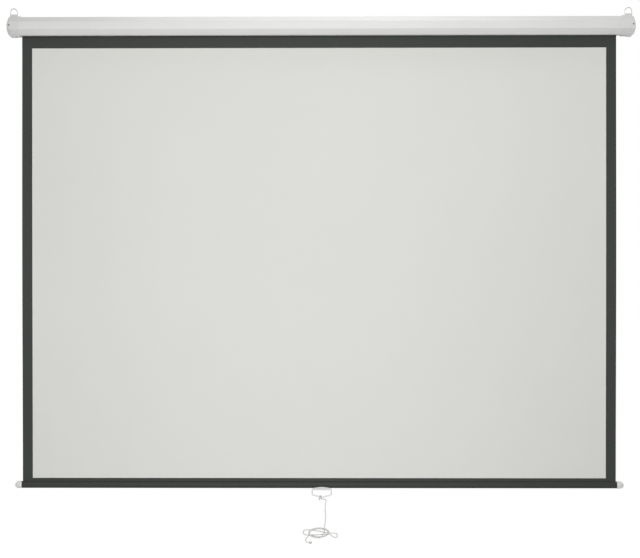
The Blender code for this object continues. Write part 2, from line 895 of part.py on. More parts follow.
def make_idle_end(plastic, nylon, steel):
    bore = IDLE_PIN_RADIUS + GAP
    profile = plug_profile(
        IDLE_FLANGE_LEFT, IDLE_FLANGE_LEFT + FLANGE, TUBE_LEFT, IDLE_PLUG_LENGTH, bore
    )
    on_roller_axis(turned("idle_end_plug", profile, plastic))

    bush_left = LEFT_PLATE - PLATE - BUSH_PROUD
    flange_left = LEFT_PLATE + GAP
    profile = [
        (bush_left, bore),
        (bush_left, BUSH_RADIUS),
        (flange_left, BUSH_RADIUS),
        (flange_left, BUSH_FLANGE_RADIUS),
        (flange_left + BUSH_FLANGE, BUSH_FLANGE_RADIUS),
        (flange_left + BUSH_FLANGE, bore),
    ]
    on_roller_axis(turned("idle_bush", profile, nylon, 24))

    head_right = bush_left - GAP
    head_left = head_right - IDLE_PIN_HEAD
    pin_right = IDLE_FLANGE_LEFT + FLANGE + WEB
    profile = [
        (head_left, 0),
        (head_left, IDLE_PIN_HEAD_RADIUS),
        (head_right, IDLE_PIN_HEAD_RADIUS),
        (head_right, IDLE_PIN_RADIUS),
        (pin_right, IDLE_PIN_RADIUS),
        (pin_right, 0),
    ]
    on_roller_axis(turned("idle_pin", profile, steel, 24))


def d_outline(radius, flat):
    """A round section with a flat on top, about the roller's axis."""
    start = math.asin((radius - flat) / radius)
    steps = 20
    points = []
    for k in range(steps + 1):
        turn = math.pi - start + (math.pi + 2 * start) * k / steps
        points.append((ROLLER_Y + radius * math.cos(turn), ROLLER_Z + radius * math.sin(turn)))
    return points


def make_spear(metal):
    """The fixed shaft: round in the roller, flatted in the hub, a flat tongue in its bracket."""
    profile = [
        (SPEAR_LEFT, 0),
        (SPEAR_LEFT, SPEAR_RADIUS),
        (HUB_RIGHT + GAP, SPEAR_RADIUS),
        (HUB_RIGHT + GAP, COLLAR_RADIUS),
        (HUB_RIGHT + GAP + COLLAR, COLLAR_RADIUS),
        (HUB_RIGHT + GAP + COLLAR, 0),
    ]
    spear = on_roller_axis(turned("spear_shaft", profile, metal, 24))
    half_width = TONGUE_WIDTH / 2
    half_thick = TONGUE_THICKNESS / 2
    outline = [
        (ROLLER_Y - half_width, ROLLER_Z - half_thick),
        (ROLLER_Y + half_width, ROLLER_Z - half_thick),
        (ROLLER_Y + half_width, ROLLER_Z + half_thick),
        (ROLLER_Y - half_width, ROLLER_Z + half_thick),
    ]
    tongue_end = RIGHT_PLATE + PLATE + TONGUE_TAIL
    unite(spear, prism("tongue", outline, HUB_RIGHT + GAP + COLLAR / 2, tongue_end, metal))
    low = ROLLER_Z + SPEAR_RADIUS - SPEAR_FLAT
    high = ROLLER_Z + SPEAR_RADIUS + SPEAR_FLAT
    outline = [
        (ROLLER_Y - 2 * SPEAR_RADIUS, low),
        (ROLLER_Y + 2 * SPEAR_RADIUS, low),
        (ROLLER_Y + 2 * SPEAR_RADIUS, high),
        (ROLLER_Y - 2 * SPEAR_RADIUS, high),
    ]
    cut(spear, prism("spear_flat", outline, HUB_LEFT - GAP, HUB_RIGHT + GAP / 2, metal))
    return spear


def make_hub(metal):
    """The ratchet hub, keyed on the spear: two notches, each a ramp down to a steep face."""
    half_turn = math.pi
    outline = []
    floor = HUB_RADIUS - NOTCH_DEPTH
    ramp_start = NOTCH_FACE - NOTCH_FLOOR - NOTCH_RAMP
    plain = half_turn - NOTCH_FLOOR - NOTCH_RAMP
    steps = round(plain / HUB_STEP)
    for notch in range(2):
        turn = ramp_start + notch * half_turn
        marks = [
            (turn + NOTCH_RAMP, floor),
            (turn + NOTCH_RAMP + NOTCH_FLOOR / 2, floor),
            (turn + NOTCH_RAMP + NOTCH_FLOOR, floor),
        ]
        for k in range(steps + 1):
            marks.append((turn + NOTCH_RAMP + NOTCH_FLOOR + plain * k / steps, HUB_RADIUS))
        for angle, radius in marks:
            outline.append(
                (ROLLER_Y + radius * math.cos(angle), ROLLER_Z + radius * math.sin(angle))
            )
    hub = prism("ratchet_hub", outline, HUB_LEFT, HUB_RIGHT, metal, 30)
    bore = d_outline(SPEAR_RADIUS + GAP, SPEAR_FLAT)
    cut(hub, prism("hub_bore", bore, HUB_LEFT - FLANGE, HUB_RIGHT + FLANGE, metal))
    return hub


def pawl_pivot(turned_by):
    """The pivot of a pawl, in Y and Z, with the pair's own turn added."""
    angle = PAWL_PIVOT_ANGLE + turned_by
    return Vector(
        (
            ROLLER_Y + PAWL_PIVOT_RADIUS * math.cos(angle),
            ROLLER_Z + PAWL_PIVOT_RADIUS * math.sin(angle),
        )
    )


def make_ratchet(plastic, metal, steel):
    """The ratchet plug in the tube's right end, with its two pawls on pins."""
    profile = plug_profile(
        RATCHET_FLANGE_RIGHT,
        RATCHET_FLANGE_RIGHT - FLANGE,
        TUBE_RIGHT,
        RATCHET_PLUG_LENGTH,
        SPEAR_RADIUS + GAP,
    )
    plug = on_roller_axis(turned("ratchet_plug", profile, plastic))

    nose_radius = HUB_RADIUS - NOTCH_DEPTH + PAWL_NOSE_HALF + PAWL_NOSE_GAP
    pawl_left = RATCHET_FLANGE_RIGHT + GAP
    pawl_right = pawl_left + PAWL_WIDTH
    for name, turned_by, lift in (
        ("upper", 0.0, -PAWL_DIP),
        ("lower", math.pi, -PAWL_DIP - PAWL_THROW),
    ):
        pivot = pawl_pivot(turned_by)
        nose_angle = PAWL_NOSE_ANGLE + turned_by
        nose = Vector(
            (
                ROLLER_Y + nose_radius * math.cos(nose_angle),
                ROLLER_Z + nose_radius * math.sin(nose_angle),
            )
        )
        length = (nose - pivot).length
        direction = math.atan2(nose.y - pivot.y, nose.x - pivot.x) + lift
        shape = []
        for k in range(9):
            turn = math.radians(65 + 230 * k / 8)
            shape.append((PAWL_BOSS * math.cos(turn), PAWL_BOSS * math.sin(turn)))
        shape += [
            (length, -PAWL_NOSE_HALF),
            (length + PAWL_NOSE_HALF / 2, 0),
            (length, PAWL_NOSE_HALF),
            (PAWL_BOSS + PAWL_WAIST / 2, PAWL_WAIST),
        ]
        data_line = [
            (u * math.cos(direction) - v * math.sin(direction),
             u * math.sin(direction) + v * math.cos(direction))
            for u, v in shape
        ]
        pawl = prism("pawl_" + name, data_line, pawl_left, pawl_right, metal, 30)
        pawl.location = (0, pivot.x, pivot.y)
        tool = rod(
            "pawl_hole_" + name,
            (RATCHET_FLANGE_RIGHT - FLANGE - GAP, pivot.x, pivot.y),
            (pawl_right + FLANGE, pivot.x, pivot.y),
            PAWL_PIN_RADIUS + GAP,
            metal,
            16,
        )
        cut(pawl, tool)
        cut(plug, tool)
        profile = [
            (RATCHET_FLANGE_RIGHT - FLANGE + GAP, 0),
            (RATCHET_FLANGE_RIGHT - FLANGE + GAP, PAWL_PIN_RADIUS),
            (pawl_right + GAP, PAWL_PIN_RADIUS),
            (pawl_right + GAP, PAWL_PIN_HEAD),
            (pawl_right + GAP + PAWL_PIN_HEAD_HEIGHT, PAWL_PIN_HEAD),
            (pawl_right + GAP + PAWL_PIN_HEAD_HEIGHT, 0),
        ]
        pin = turned("pawl_pin_" + name, profile, steel, 16)
        pin.location = (0, pivot.x, pivot.y)


def make_spring_drive(plastic, metal, steel, wood):
    """The ferrule on the spear, the rod, the anchor in the tube and the spring between them."""
    boss = SPRING_RADIUS * math.cos(math.pi / COIL_POINTS) - SPRING_WIRE / 2 - GAP
    bore = SPEAR_RADIUS + GAP
    profile = [
        (FERRULE_SEAT - BOSS_LENGTH, bore),
        (FERRULE_SEAT - BOSS_LENGTH, boss),
        (FERRULE_SEAT, boss),
        (FERRULE_SEAT, FERRULE_FLANGE_RADIUS),
        (FERRULE_RIGHT, FERRULE_FLANGE_RADIUS),
        (FERRULE_RIGHT, bore),
    ]
    on_roller_axis(turned("spring_ferrule", profile, metal, 24))

    anchor_left = ANCHOR_SEAT - ANCHOR_BODY
    body = ROLLER_RADIUS - ROLLER_WALL - GAP
    bore = ROD_RADIUS + GAP
    profile = [
        (anchor_left, bore),
        (anchor_left, body),
        (ANCHOR_SEAT, body),
        (ANCHOR_SEAT, boss),
        (ANCHOR_SEAT + BOSS_LENGTH, boss),
        (ANCHOR_SEAT + BOSS_LENGTH, bore),
    ]
    on_roller_axis(turned("spring_anchor_plug", profile, plastic, 24))

    rod(
        "spring_rod",
        (anchor_left - ROD_PAST_ANCHOR, ROLLER_Y, ROLLER_Z),
        (SPEAR_LEFT - GAP, ROLLER_Y, ROLLER_Z),
        ROD_RADIUS,
        wood,
        16,
    )

    # The wire runs straight out of each seat, then eases into its coils
    pitch = (SPRING_SPAN - 2 * SPRING_END - SPRING_EASE) / SPRING_COILS
    step = pitch / COIL_POINTS
    count = round(SPRING_SPAN / step)
    wire = []
    turns = 0.0
    for k in range(count + 1):
        along = SPRING_SPAN * k / count
        wire.append(
            Vector(
                (
                    SPRING_LEFT + along,
                    ROLLER_Y + SPRING_RADIUS * math.cos(2 * math.pi * turns),
                    ROLLER_Z + SPRING_RADIUS * math.sin(2 * math.pi * turns),
                )
            )
        )
        middle = along + SPRING_SPAN / count / 2
        from_end = min(middle, SPRING_SPAN - middle) - SPRING_END
        rate = min(1.0, max(0.0, from_end / SPRING_EASE))
        turns += rate * SPRING_SPAN / count / pitch
    tube("torsion_spring", wire, SPRING_WIRE, steel, 1)
    print("torsion_spring least gap to itself, mm:", 1000 * least_self_gap(wire, SPRING_WIRE))


# Sheet, hem and weight bar
def make_sheet(white, black):
    columns = [SHEET_LEFT, SHEET_LEFT + SIDE_BORDER, SHEET_RIGHT - SIDE_BORDER, SHEET_RIGHT]
    rows = [WHITE_BOTTOM + GAP, WHITE_TOP, ROLLER_Z - GAP]
    sheet = slab("screen_sheet", columns, rows, SHEET_Y, SHEET_THICKNESS, black)
    sheet.data.materials.append(white)
    for face in sheet.data.polygons:
        inside = abs(face.center.x - SHEET_OFFSET_X) < VIEW_WIDTH / 2
        if face.normal.y < -0.5 and inside and face.center.z < WHITE_TOP:
            face.material_index = 1


def bar_slot_z():
    """The height where the bar's outline meets its slot."""
    half = BAR_DEPTH / 2
    return BAR_Z + BAR_HEIGHT / 2 * math.sqrt(1 - (BAR_SLOT_HALF / half) ** 2)


def make_hem(black, plastic):
    """The hem: folded round a rod that hangs under the bar's lips."""
    loop = HEM_ROD_RADIUS + GAP + SHEET_THICKNESS / 2
    rod_z = bar_slot_z() - BAR_LIP - 2 * GAP - loop - SHEET_THICKNESS / 2
    neck = math.asin(HEM_SPREAD / loop)
    path = [(-HEM_SPREAD, WHITE_BOTTOM - rod_z)]
    steps = 16
    for k in range(steps + 1):
        turn = math.pi / 2 + neck + (2 * math.pi - 2 * neck) * k / steps
        path.append((loop * math.cos(turn), loop * math.sin(turn)))
    path.append((HEM_SPREAD, BAR_TOP + HEM_REAR_RISE - rod_z))
    outline = [(y + BAR_Y, z + rod_z) for y, z in band_outline(path, SHEET_THICKNESS)]
    prism("bottom_hem", outline, SHEET_LEFT, SHEET_RIGHT, black, 40)
    rod(
        "hem_rod",
        (SHEET_LEFT, BAR_Y, rod_z),
        (SHEET_RIGHT, BAR_Y, rod_z),
        HEM_ROD_RADIUS,
        plastic,
        12,
    )


def make_bar(black):
    half_depth = BAR_DEPTH / 2
    half_height = BAR_HEIGHT / 2
    slot_z = bar_slot_z()
    first = math.asin(BAR_SLOT_HALF / half_depth)
    path = [(-BAR_SLOT_HALF, slot_z - BAR_LIP - BAR_Z)]
    steps = 30
    for k in range(steps + 1):
        turn = first + (2 * math.pi - 2 * first) * k / steps
        path.append((-half_depth * math.sin(turn), half_height * math.cos(turn)))
    path.append((BAR_SLOT_HALF, slot_z - BAR_LIP - BAR_Z))
    outline = [(y + BAR_Y, z + BAR_Z) for y, z in strip_outline(path, -BAR_WALL)]
    return prism("weight_bar", outline, BAR_LEFT, BAR_RIGHT, black, 30)


def make_bar_cap(side, bar_end, white):
    """A moulded cap: an oval dome that droops a little, with a spigot in the bar."""
    outward = 1 if side == "right" else -1
    base = bar_end + outward * GAP
    half_depth = BAR_DEPTH / 2 + BAR_CAP_PROUD
    half_height = BAR_HEIGHT / 2 + BAR_CAP_PROUD
    taper = 1 - (BAR_CAP_END_HALF / half_height) ** 2
    steps = 24
    sections = []
    for share in BAR_CAP_STATIONS:
        size = math.sqrt(1 - taper * share**3)
        place = base + outward * share * BAR_CAP_LENGTH
        middle_z = BAR_Z - BAR_CAP_DROOP * share**2
        section = []
        for k in range(steps):
            turn = 2 * math.pi * k / steps
            out_y = half_depth * size * math.cos(turn)
            out_z = half_height * size * math.sin(turn)
            section.append((place, BAR_Y + out_y, middle_z + out_z))
        sections.append(section)
    cap = loft("bar_cap_" + side, sections, white, 30)
    half = SPIGOT_HALF
    outline = [
        (BAR_Y - half, BAR_Z - SPIGOT_DROP),
        (BAR_Y + half, BAR_Z - SPIGOT_DROP),
        (BAR_Y + half, BAR_Z + SPIGOT_RISE),
        (BAR_Y - half, BAR_Z + SPIGOT_RISE),
    ]
    inner = bar_end - outward * SPIGOT_LENGTH
    unite(cap, prism("spigot_" + side, outline, inner, base + outward * FLANGE, white))


# Handle under the bar, and the saddle that carries it
def make_saddle(white):
    """A moulded saddle that hugs the bar's underside, arched along its upper edge."""
    inner_y = BAR_DEPTH / 2 + GAP
    inner_z = BAR_HEIGHT / 2 + GAP
    sections = []
    stations = 8
    for s in range(stations + 1):
        share = -1 + 2 * s / stations
        wrap = SADDLE_WRAP_END + (SADDLE_WRAP_MIDDLE - SADDLE_WRAP_END) * (1 - share**2)
        x = HANDLE_X + share * SADDLE_HALF
        line = []
        steps = 10
        for k in range(steps + 1):
            turn = wrap * (2 * k / steps - 1)
            line.append((inner_y * math.sin(turn), -inner_z * math.cos(turn)))
        edge_y = inner_y + SADDLE_EDGE
        edge_z = inner_z + SADDLE_EDGE
        side = [
            (edge_y * math.sin(wrap), -edge_z * math.cos(wrap)),
            (edge_y * math.sin(0.75 * wrap), -edge_z * math.cos(0.75 * wrap)),
            (SADDLE_PAD_HALF + SADDLE_EDGE / 2, -inner_z - SADDLE_PAD / 2),
            (SADDLE_PAD_HALF, -inner_z - SADDLE_PAD),
        ]
        line += side
        line += [(-y, z) for y, z in side[::-1]]
        sections.append([(x, BAR_Y + y, BAR_Z + z) for y, z in line])
    return loft("handle_saddle", sections, white, 30)


def fasten_saddle(saddle, bar, white, metal):
    """Bores for the handle's pins, and two screws up into the bar."""
    pad_z = BAR_BOTTOM - GAP - SADDLE_PAD
    for side in (-1, 1):
        face = HANDLE_X + side * SADDLE_HALF
        name = "left" if side < 0 else "right"
        tool = rod(
            "pin_bore_" + name,
            (face + side * GAP, BAR_Y, PIN_Z),
            (face - side * (HANDLE_PIN_LENGTH + GAP), BAR_Y, PIN_Z),
            HANDLE_PIN / 2 + GAP,
            white,
        )
        cut(saddle, tool)
        x = HANDLE_X + side * SADDLE_SCREW_SPREAD
        seat_z = pad_z + SADDLE_SCREW_SINK
        hole = screw_hole(
            "saddle_hole_" + name,
            (x, BAR_Y, seat_z),
            (0, 0, 1),
            SADDLE_SCREW_SINK + GAP,
            SADDLE_SCREW_HEAD + GAP,
            SADDLE_SCREW_SHANK + GAP,
            BAR_BOTTOM + 2 * BAR_WALL - seat_z,
            white,
        )
        cut(saddle, hole)
        cut(bar, hole)
        screw(
            "saddle_screw_" + name,
            (x, BAR_Y, seat_z - GAP),
            (0, 0, 1),
            SADDLE_SCREW_HEAD,
            SADDLE_SCREW_SINK - 2 * GAP,
            SADDLE_SCREW_SHANK,
            SADDLE_PAD - SADDLE_SCREW_SINK + 3 * BAR_WALL,
            metal,
        )


def make_handle(white):
    """The pull handle: a round bail with a shallow point, its ends turned in as pins."""
    right = [
        (SADDLE_HALF + GAP, 0),
        (HANDLE_SHOULDER, 0),
        (HANDLE_HALF, -HANDLE_CORNER_DROP),
        (0, -HANDLE_DROP),
    ]
    left = [(-x, z) for x, z in right[:-1]]
    radii = [HANDLE_TURN, HANDLE_CORNER, HANDLE_POINT, HANDLE_CORNER, HANDLE_TURN]
    line = filleted(left + right[::-1], radii, 4)
    reach = HANDLE_PIN_LENGTH
    start = line[0] + Vector((reach, 0))
    end = line[-1] - Vector((reach, 0))
    shoulder = Vector((GAP / 2, 0))
    line = [start, line[0] - shoulder, line[0] - 2 * shoulder] + line[1:-1]
    line += [Vector((-line[2].x, 0)), Vector((-line[1].x, 0)), end]
    path = [(HANDLE_X + p.x, BAR_Y, PIN_Z + p.y) for p in line]
    radii = [HANDLE_ROD / 2] * len(path)
    for k in (0, 1, -1, -2):
        radii[k] = HANDLE_PIN / 2
    return swept("pull_handle", path, radii, 12, white)


def rod_rise(x):
    """How far the handle's rod lies above its point, at a distance along X from it."""
    slope = (HANDLE_DROP - HANDLE_CORNER_DROP) / HANDLE_HALF
    half_angle = math.pi / 2 - math.atan(slope)
    round_rise = HANDLE_POINT * (1 / math.sin(half_angle) - 1)
    return math.hypot(slope * x, round_rise)


# Cord: a hitch round the handle, a drop, a hank of oval turns with two ears, and a tail
def hitch_line():
    """Two turns round the handle's rod, a short end below and the cord's way out to +X."""
    radius = HANDLE_ROD / 2 + CORD / 2 + KNOT_GAP
    pitch = CORD + KNOT_GAP
    first = HITCH_START
    last = first + pitch * HITCH_WRAPS
    low = rod_rise(first) - radius
    line = [(first + x, y, low + z) for x, y, z in HITCH_END_WAY]
    steps = 12 * HITCH_WRAPS
    for k in range(steps + 1):
        turn = 2 * math.pi * HITCH_WRAPS * k / steps
        x = first + (last - first) * k / steps
        line.append((x, -radius * math.sin(turn), rod_rise(x) - radius * math.cos(turn)))
    low = rod_rise(last) - radius
    for share, front, sag in ((0.12, 0.45, 0.17), (0.36, 0.85, 0.67), (0.68, 1, 1), (1, 1, 1)):
        x = last + share * HITCH_REACH
        line.append((x, -front * HITCH_FRONT, low - sag * HITCH_SAG))
    return [TIP + Vector(p) for p in line]


def hank_centre(exit_point):
    """The middle of the hank's oval, which hangs under the cord's way out of the hitch."""
    return Vector((TIP.x + HANK_SHIFT, exit_point.y, TIP.z - HANK_DROP))


def hank_line(centre):
    """One run of cord, its strands in layers from front to back a cord and a gap apart."""
    first_layer = -LAYERS_BEFORE_OVAL
    last_layer = OVAL_TURNS + LAYERS_AFTER_OVAL
    middle = (first_layer + last_layer) / 2

    def at(x, z, layer):
        return centre + Vector((x, (layer - middle) * LAYER, z))

    line = [at(HANK_ENTRY_X, HANK_ENTRY_Z, first_layer)]
    start_z = HANK_ENTRY_Z - 1.2 * CORD
    steps = LOOP_POINTS // 3
    for k in range(steps):
        turn = math.pi / 2 * k / steps
        height = start_z + OVAL_HALF_HEIGHT
        line.append(
            at(
                HANK_ENTRY_X * math.cos(turn),
                start_z - height * math.sin(turn),
                first_layer + LAYERS_BEFORE_OVAL * k / steps,
            )
        )
    count = LOOP_POINTS * OVAL_TURNS
    for k in range(count + 1):
        turn = 2 * math.pi * OVAL_TURNS * k / count
        squeeze = OVAL_SQUEEZE * math.sin(math.pi * k / count) ** 2
        line.append(
            at(
                -(OVAL_HALF_WIDTH - squeeze) * math.sin(turn),
                -(OVAL_HALF_HEIGHT - squeeze) * math.cos(turn),
                OVAL_TURNS * k / count,
            )
        )

    def ease(from_x, from_z, from_layer, to_x, to_z, to_layer, steps):
        """A run that leaves and arrives level, without its first point."""
        run = []
        for k in range(1, steps + 1):
            share = k / steps
            blend = (1 - math.cos(math.pi * share)) / 2
            run.append(
                at(
                    from_x + (to_x - from_x) * share,
                    from_z + (to_z - from_z) * blend,
                    from_layer + (to_layer - from_layer) * share,
                )
            )
        return run

    def ear(side, middle_x, middle_z, width, height, low_to_high, from_layer, to_layer):
        """Half an oval at the hank's side, without its first point."""
        run = []
        half = LOOP_POINTS // 2
        for k in range(1, half + 1):
            turn = math.pi * k / half
            rise = -math.cos(turn) if low_to_high else math.cos(turn)
            run.append(
                at(
                    middle_x + side * width * math.sin(turn),
                    middle_z + height * rise,
                    from_layer + (to_layer - from_layer) * k / half,
                )
            )
        return run

    full = float(OVAL_TURNS)
    left_x = LEFT_EAR_WIDTH - LEFT_EAR_REACH
    right_x = RIGHT_EAR_REACH - RIGHT_EAR_RADIUS
    right_top = RIGHT_EAR_RADIUS - RIGHT_EAR_DROP
    right_low = -RIGHT_EAR_RADIUS - RIGHT_EAR_DROP
    line += ease(0, -OVAL_HALF_HEIGHT, full, left_x, -LEFT_EAR_HEIGHT, full + 0.2, 6)
    line += ear(-1, left_x, 0, LEFT_EAR_WIDTH, LEFT_EAR_HEIGHT, True, full + 0.2, full + 0.5)
    line += ease(left_x, LEFT_EAR_HEIGHT, full + 0.5, right_x, right_top, full + 1.0, 12)
    line += ear(
        1, right_x, -RIGHT_EAR_DROP, RIGHT_EAR_RADIUS, RIGHT_EAR_RADIUS, False, full + 1.0, full + 1.1
    )
    line += ease(right_x, right_low, full + 1.1, RETURN_X, RETURN_Z, full + 1.3, 6)
    line += ease(RETURN_X, RETURN_Z, full + 1.3, HANK_EXIT_X, HANK_EXIT_Z, full + 1.6, 8)
    line.append(at(HANK_EXIT_X - CORD, HANK_EXIT_Z, full + 1.6))
    return line


def drop_line(start, end):
    """The cord from the hitch down to the hank: a bend, a slow swing to the right and back."""
    fall = end.z - start.z
    first_x, first_share = DROP_WAY[0]
    bend = filleted([(0, 0), (BEND_REACH, 0), (first_x, fall * first_share)], [BEND_RADIUS], 6)
    route = [(p.x, p.y / fall) for p in bend[:-1]] + list(DROP_WAY)
    points = []
    for x, share in route:
        points.append(start + Vector((x, (end.y - start.y) * share, fall * share)))
    points.append(end + Vector((0, 0, CORD)))
    points.append(end)
    return smooth_route(points, 0.8 * CORD)


def tail_line(start):
    """The cord's last run: out of the hank to the left, down and round to the right."""
    last_x, last_z = TAIL_WAY[-1]
    route = [(0, 0), (-CORD, 0), *TAIL_WAY, (last_x + CORD, last_z)]
    return smooth_route([start + Vector((x, 0, z)) for x, z in route], CORD)


def end_knot_line(start):
    """A stopper knot: the cord runs through its own turns and winds back round itself."""
    radius = CORD + KNOT_GAP
    core = radius * END_KNOT_WRAPS + CORD
    line = [start, start + Vector((core / 2, 0, 0)), start + Vector((core, 0, 0))]
    ease_steps = 6
    for k in range(1, ease_steps + 1):
        share = k / ease_steps
        turn = math.pi * share
        out = radius * math.sin(share * math.pi / 2)
        line.append(
            start
            + Vector(
                (
                    core + radius / 2 * math.sin(turn),
                    out * math.sin(turn),
                    out * math.cos(turn),
                )
            )
        )
    steps = 12 * END_KNOT_WRAPS
    for k in range(1, steps + 1):
        turn = math.pi + 2 * math.pi * END_KNOT_WRAPS * k / steps
        line.append(
            start
            + Vector(
                (
                    core - radius * END_KNOT_WRAPS * k / steps,
                    radius * math.sin(turn),
                    radius * math.cos(turn),
                )
            )
        )
    return line


def hang_on_axis(name, place, *pieces):
    """An empty on a joint's axis that carries the pieces, which stay where they are."""
    axis = bpy.data.objects.new(name, None)
    axis.location = place
    bpy.context.scene.collection.objects.link(axis)
    for piece in pieces:
        moving = bpy.data.objects[piece]
        moving.parent = axis
        moving.matrix_parent_inverse = Matrix.Translation(place).inverted()


def make_cord(white):
    """The five lengths of the cord, each meeting the next face to face."""
    hitch = smooth_route(hitch_line(), CORD / 2)
    tube("cord_hitch", hitch, CORD, white, 1)
    drop_start = hitch[-1] + Vector((GAP, 0, 0))
    centre = hank_centre(hitch[-1])
    hank = hank_line(centre)
    drop = drop_line(drop_start, hank[0] + Vector((0, 0, GAP)))
    tube("cord_drop", drop, CORD, white, 2)
    tube("cord_hank", hank, CORD, white, 1)
    tail = tail_line(hank[-1] - Vector((GAP, 0, 0)))
    tube("cord_tail", tail, CORD, white, 2)
    knot = end_knot_line(tail[-1] + Vector((GAP, 0, 0)))
    tube("cord_end_knot", knot, CORD, white, 1)
    for name, line in (("hitch", hitch), ("hank", hank), ("end knot", knot)):
        print(name, "least gap to itself, mm:", 1000 * least_self_gap(line, CORD))
    lengths = [path_length(line) for line in (hitch, drop, hank, tail, knot)]
    print("cord lengths, m:", [round(value, 4) for value in lengths], sum(lengths))
    print("cord leaves the hitch at", [round(v, 5) for v in hitch[-1]])
    print("hank centre", [round(v, 5) for v in centre])
    return hitch[-1]


def main():
    for old in list(bpy.data.objects):
        bpy.data.objects.remove(old, do_unlink=True)

    case_paint = material("case_paint", "E9E9E6", 0.45)
    cap_plastic = material("cap_plastic", "DDDEDB", 0.42)
    zinc = material("zinc_plate", "B9BDC1", 0.35, 1.0)
    steel = material("steel", "A9ACAF", 0.38, 1.0)
    nylon = material("nylon", "E4E1D6", 0.5)
    black_sheet = material("black_sheet", "3B3D3A", 0.75)
    white_sheet = material("white_sheet", "EFEFEA", 0.8)
    bar_paint = material("bar_paint", "2F312F", 0.45)
    white_plastic = material("white_plastic", "F1F1EE", 0.4)
    dark_plastic = material("dark_plastic", "53565A", 0.5)
    wood = material("wood", "C9A676", 0.6)
    cord = material("cord", "F0F0EC", 0.8)

    case = make_case(case_paint)
    for side, plate_x, end_x in (
        ("left", LEFT_PLATE, CASE_LEFT),
        ("right", RIGHT_PLATE, CASE_RIGHT),
    ):
        cap, ear_x, bore_z = make_cap(side, plate_x, end_x, cap_plastic)
        make_ring(side, ear_x, bore_z, zinc)
        hang_on_axis("ring_axis_" + side, (ear_x, 0, bore_z), "hanger_ring_" + side)
        bracket = make_bracket(side, plate_x, steel)
        fasten_end(side, plate_x, cap, bracket, case, zinc)
        if side == "left":
            hole = rod(
                "bush_hole",
                (plate_x + GAP, ROLLER_Y, ROLLER_Z),
                (plate_x - PLATE - GAP, ROLLER_Y, ROLLER_Z),
                BUSH_RADIUS + GAP,
                steel,
            )
            cut(bracket, hole)
        else:
            half_width = TONGUE_WIDTH / 2 + GAP
            half_thick = TONGUE_THICKNESS / 2 + GAP
            outline = [
                (ROLLER_Y - half_width, ROLLER_Z - half_thick),
                (ROLLER_Y + half_width, ROLLER_Z - half_thick),
                (ROLLER_Y + half_width, ROLLER_Z + half_thick),
                (ROLLER_Y - half_width, ROLLER_Z + half_thick),
            ]
            cut(bracket, prism("tongue_slot", outline, plate_x - GAP, plate_x + PLATE + GAP, steel))
        print("ear", side, round(ear_x, 5), "ring pivot height", round(bore_z, 5))

    make_roller_tube(steel)
    make_leader_wrap(black_sheet)
    make_idle_end(dark_plastic, nylon, steel)
    make_spear(zinc)
    make_hub(zinc)
    make_ratchet(dark_plastic, steel, zinc)
    make_spring_drive(dark_plastic, zinc, steel, wood)

    make_sheet(white_sheet, black_sheet)
    make_hem(black_sheet, dark_plastic)
    bar = make_bar(bar_paint)
    make_bar_cap("left", BAR_LEFT, white_plastic)
    make_bar_cap("right", BAR_RIGHT, white_plastic)
    saddle = make_saddle(white_plastic)
    fasten_saddle(saddle, bar, white_plastic, zinc)
    make_handle(white_plastic)
    cord_exit = make_cord(cord)

    hang_on_axis(
        "roller_axis",
        (0, ROLLER_Y, ROLLER_Z),
        "roller_tube",
        "leader_wrap",
        "ratchet_plug",
        "pawl_pin_upper",
        "pawl_pin_lower",
        "spring_anchor_plug",
        "torsion_spring",
        "idle_end_plug",
        "idle_pin",
    )
    hang_on_axis(
        "bar_slide",
        (0, BAR_Y, BAR_Z),
        "weight_bar",
        "bar_cap_left",
        "bar_cap_right",
        "bottom_hem",
        "hem_rod",
        "handle_saddle",
        "saddle_screw_left",
        "saddle_screw_right",
    )
    hang_on_axis("handle_axis", (HANDLE_X, BAR_Y, PIN_Z), "pull_handle", "cord_hitch")
    hang_on_axis(
        "cord_axis", cord_exit, "cord_drop", "cord_hank", "cord_tail", "cord_end_knot"
    )

    print("roller axis", round(ROLLER_Y, 5), round(ROLLER_Z, 5))
    print("pawl pivots", pawl_pivot(0.0), pawl_pivot(math.pi))
    print("travel", round(TRAVEL, 5), "turns per metre in radians", 2 * math.pi * ROLLER_TURNS / TRAVEL)
    print("sheet y", SHEET_Y, "bar", BAR_Y, BAR_Z, BAR_BOTTOM, "pin z", PIN_Z)
    print("case", CASE_LEFT, CASE_RIGHT, "cap half", CAP_HALF, "white", WHITE_TOP, WHITE_BOTTOM)


main()
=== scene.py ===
# %% [markdown]
# # A pull-down projector screen
# The real object is a steel case with a spring roller in it. A white sheet with black borders
# comes down from the roller, and a weight bar with a handle and a cord keeps it flat.
# The measured model is loaded first. It holds every piece and every joint, and nothing here moves
# it. This file only gives the pieces that show a finer surface and the finish of the real thing.

# %% Load the measured model
import math
from functools import partial

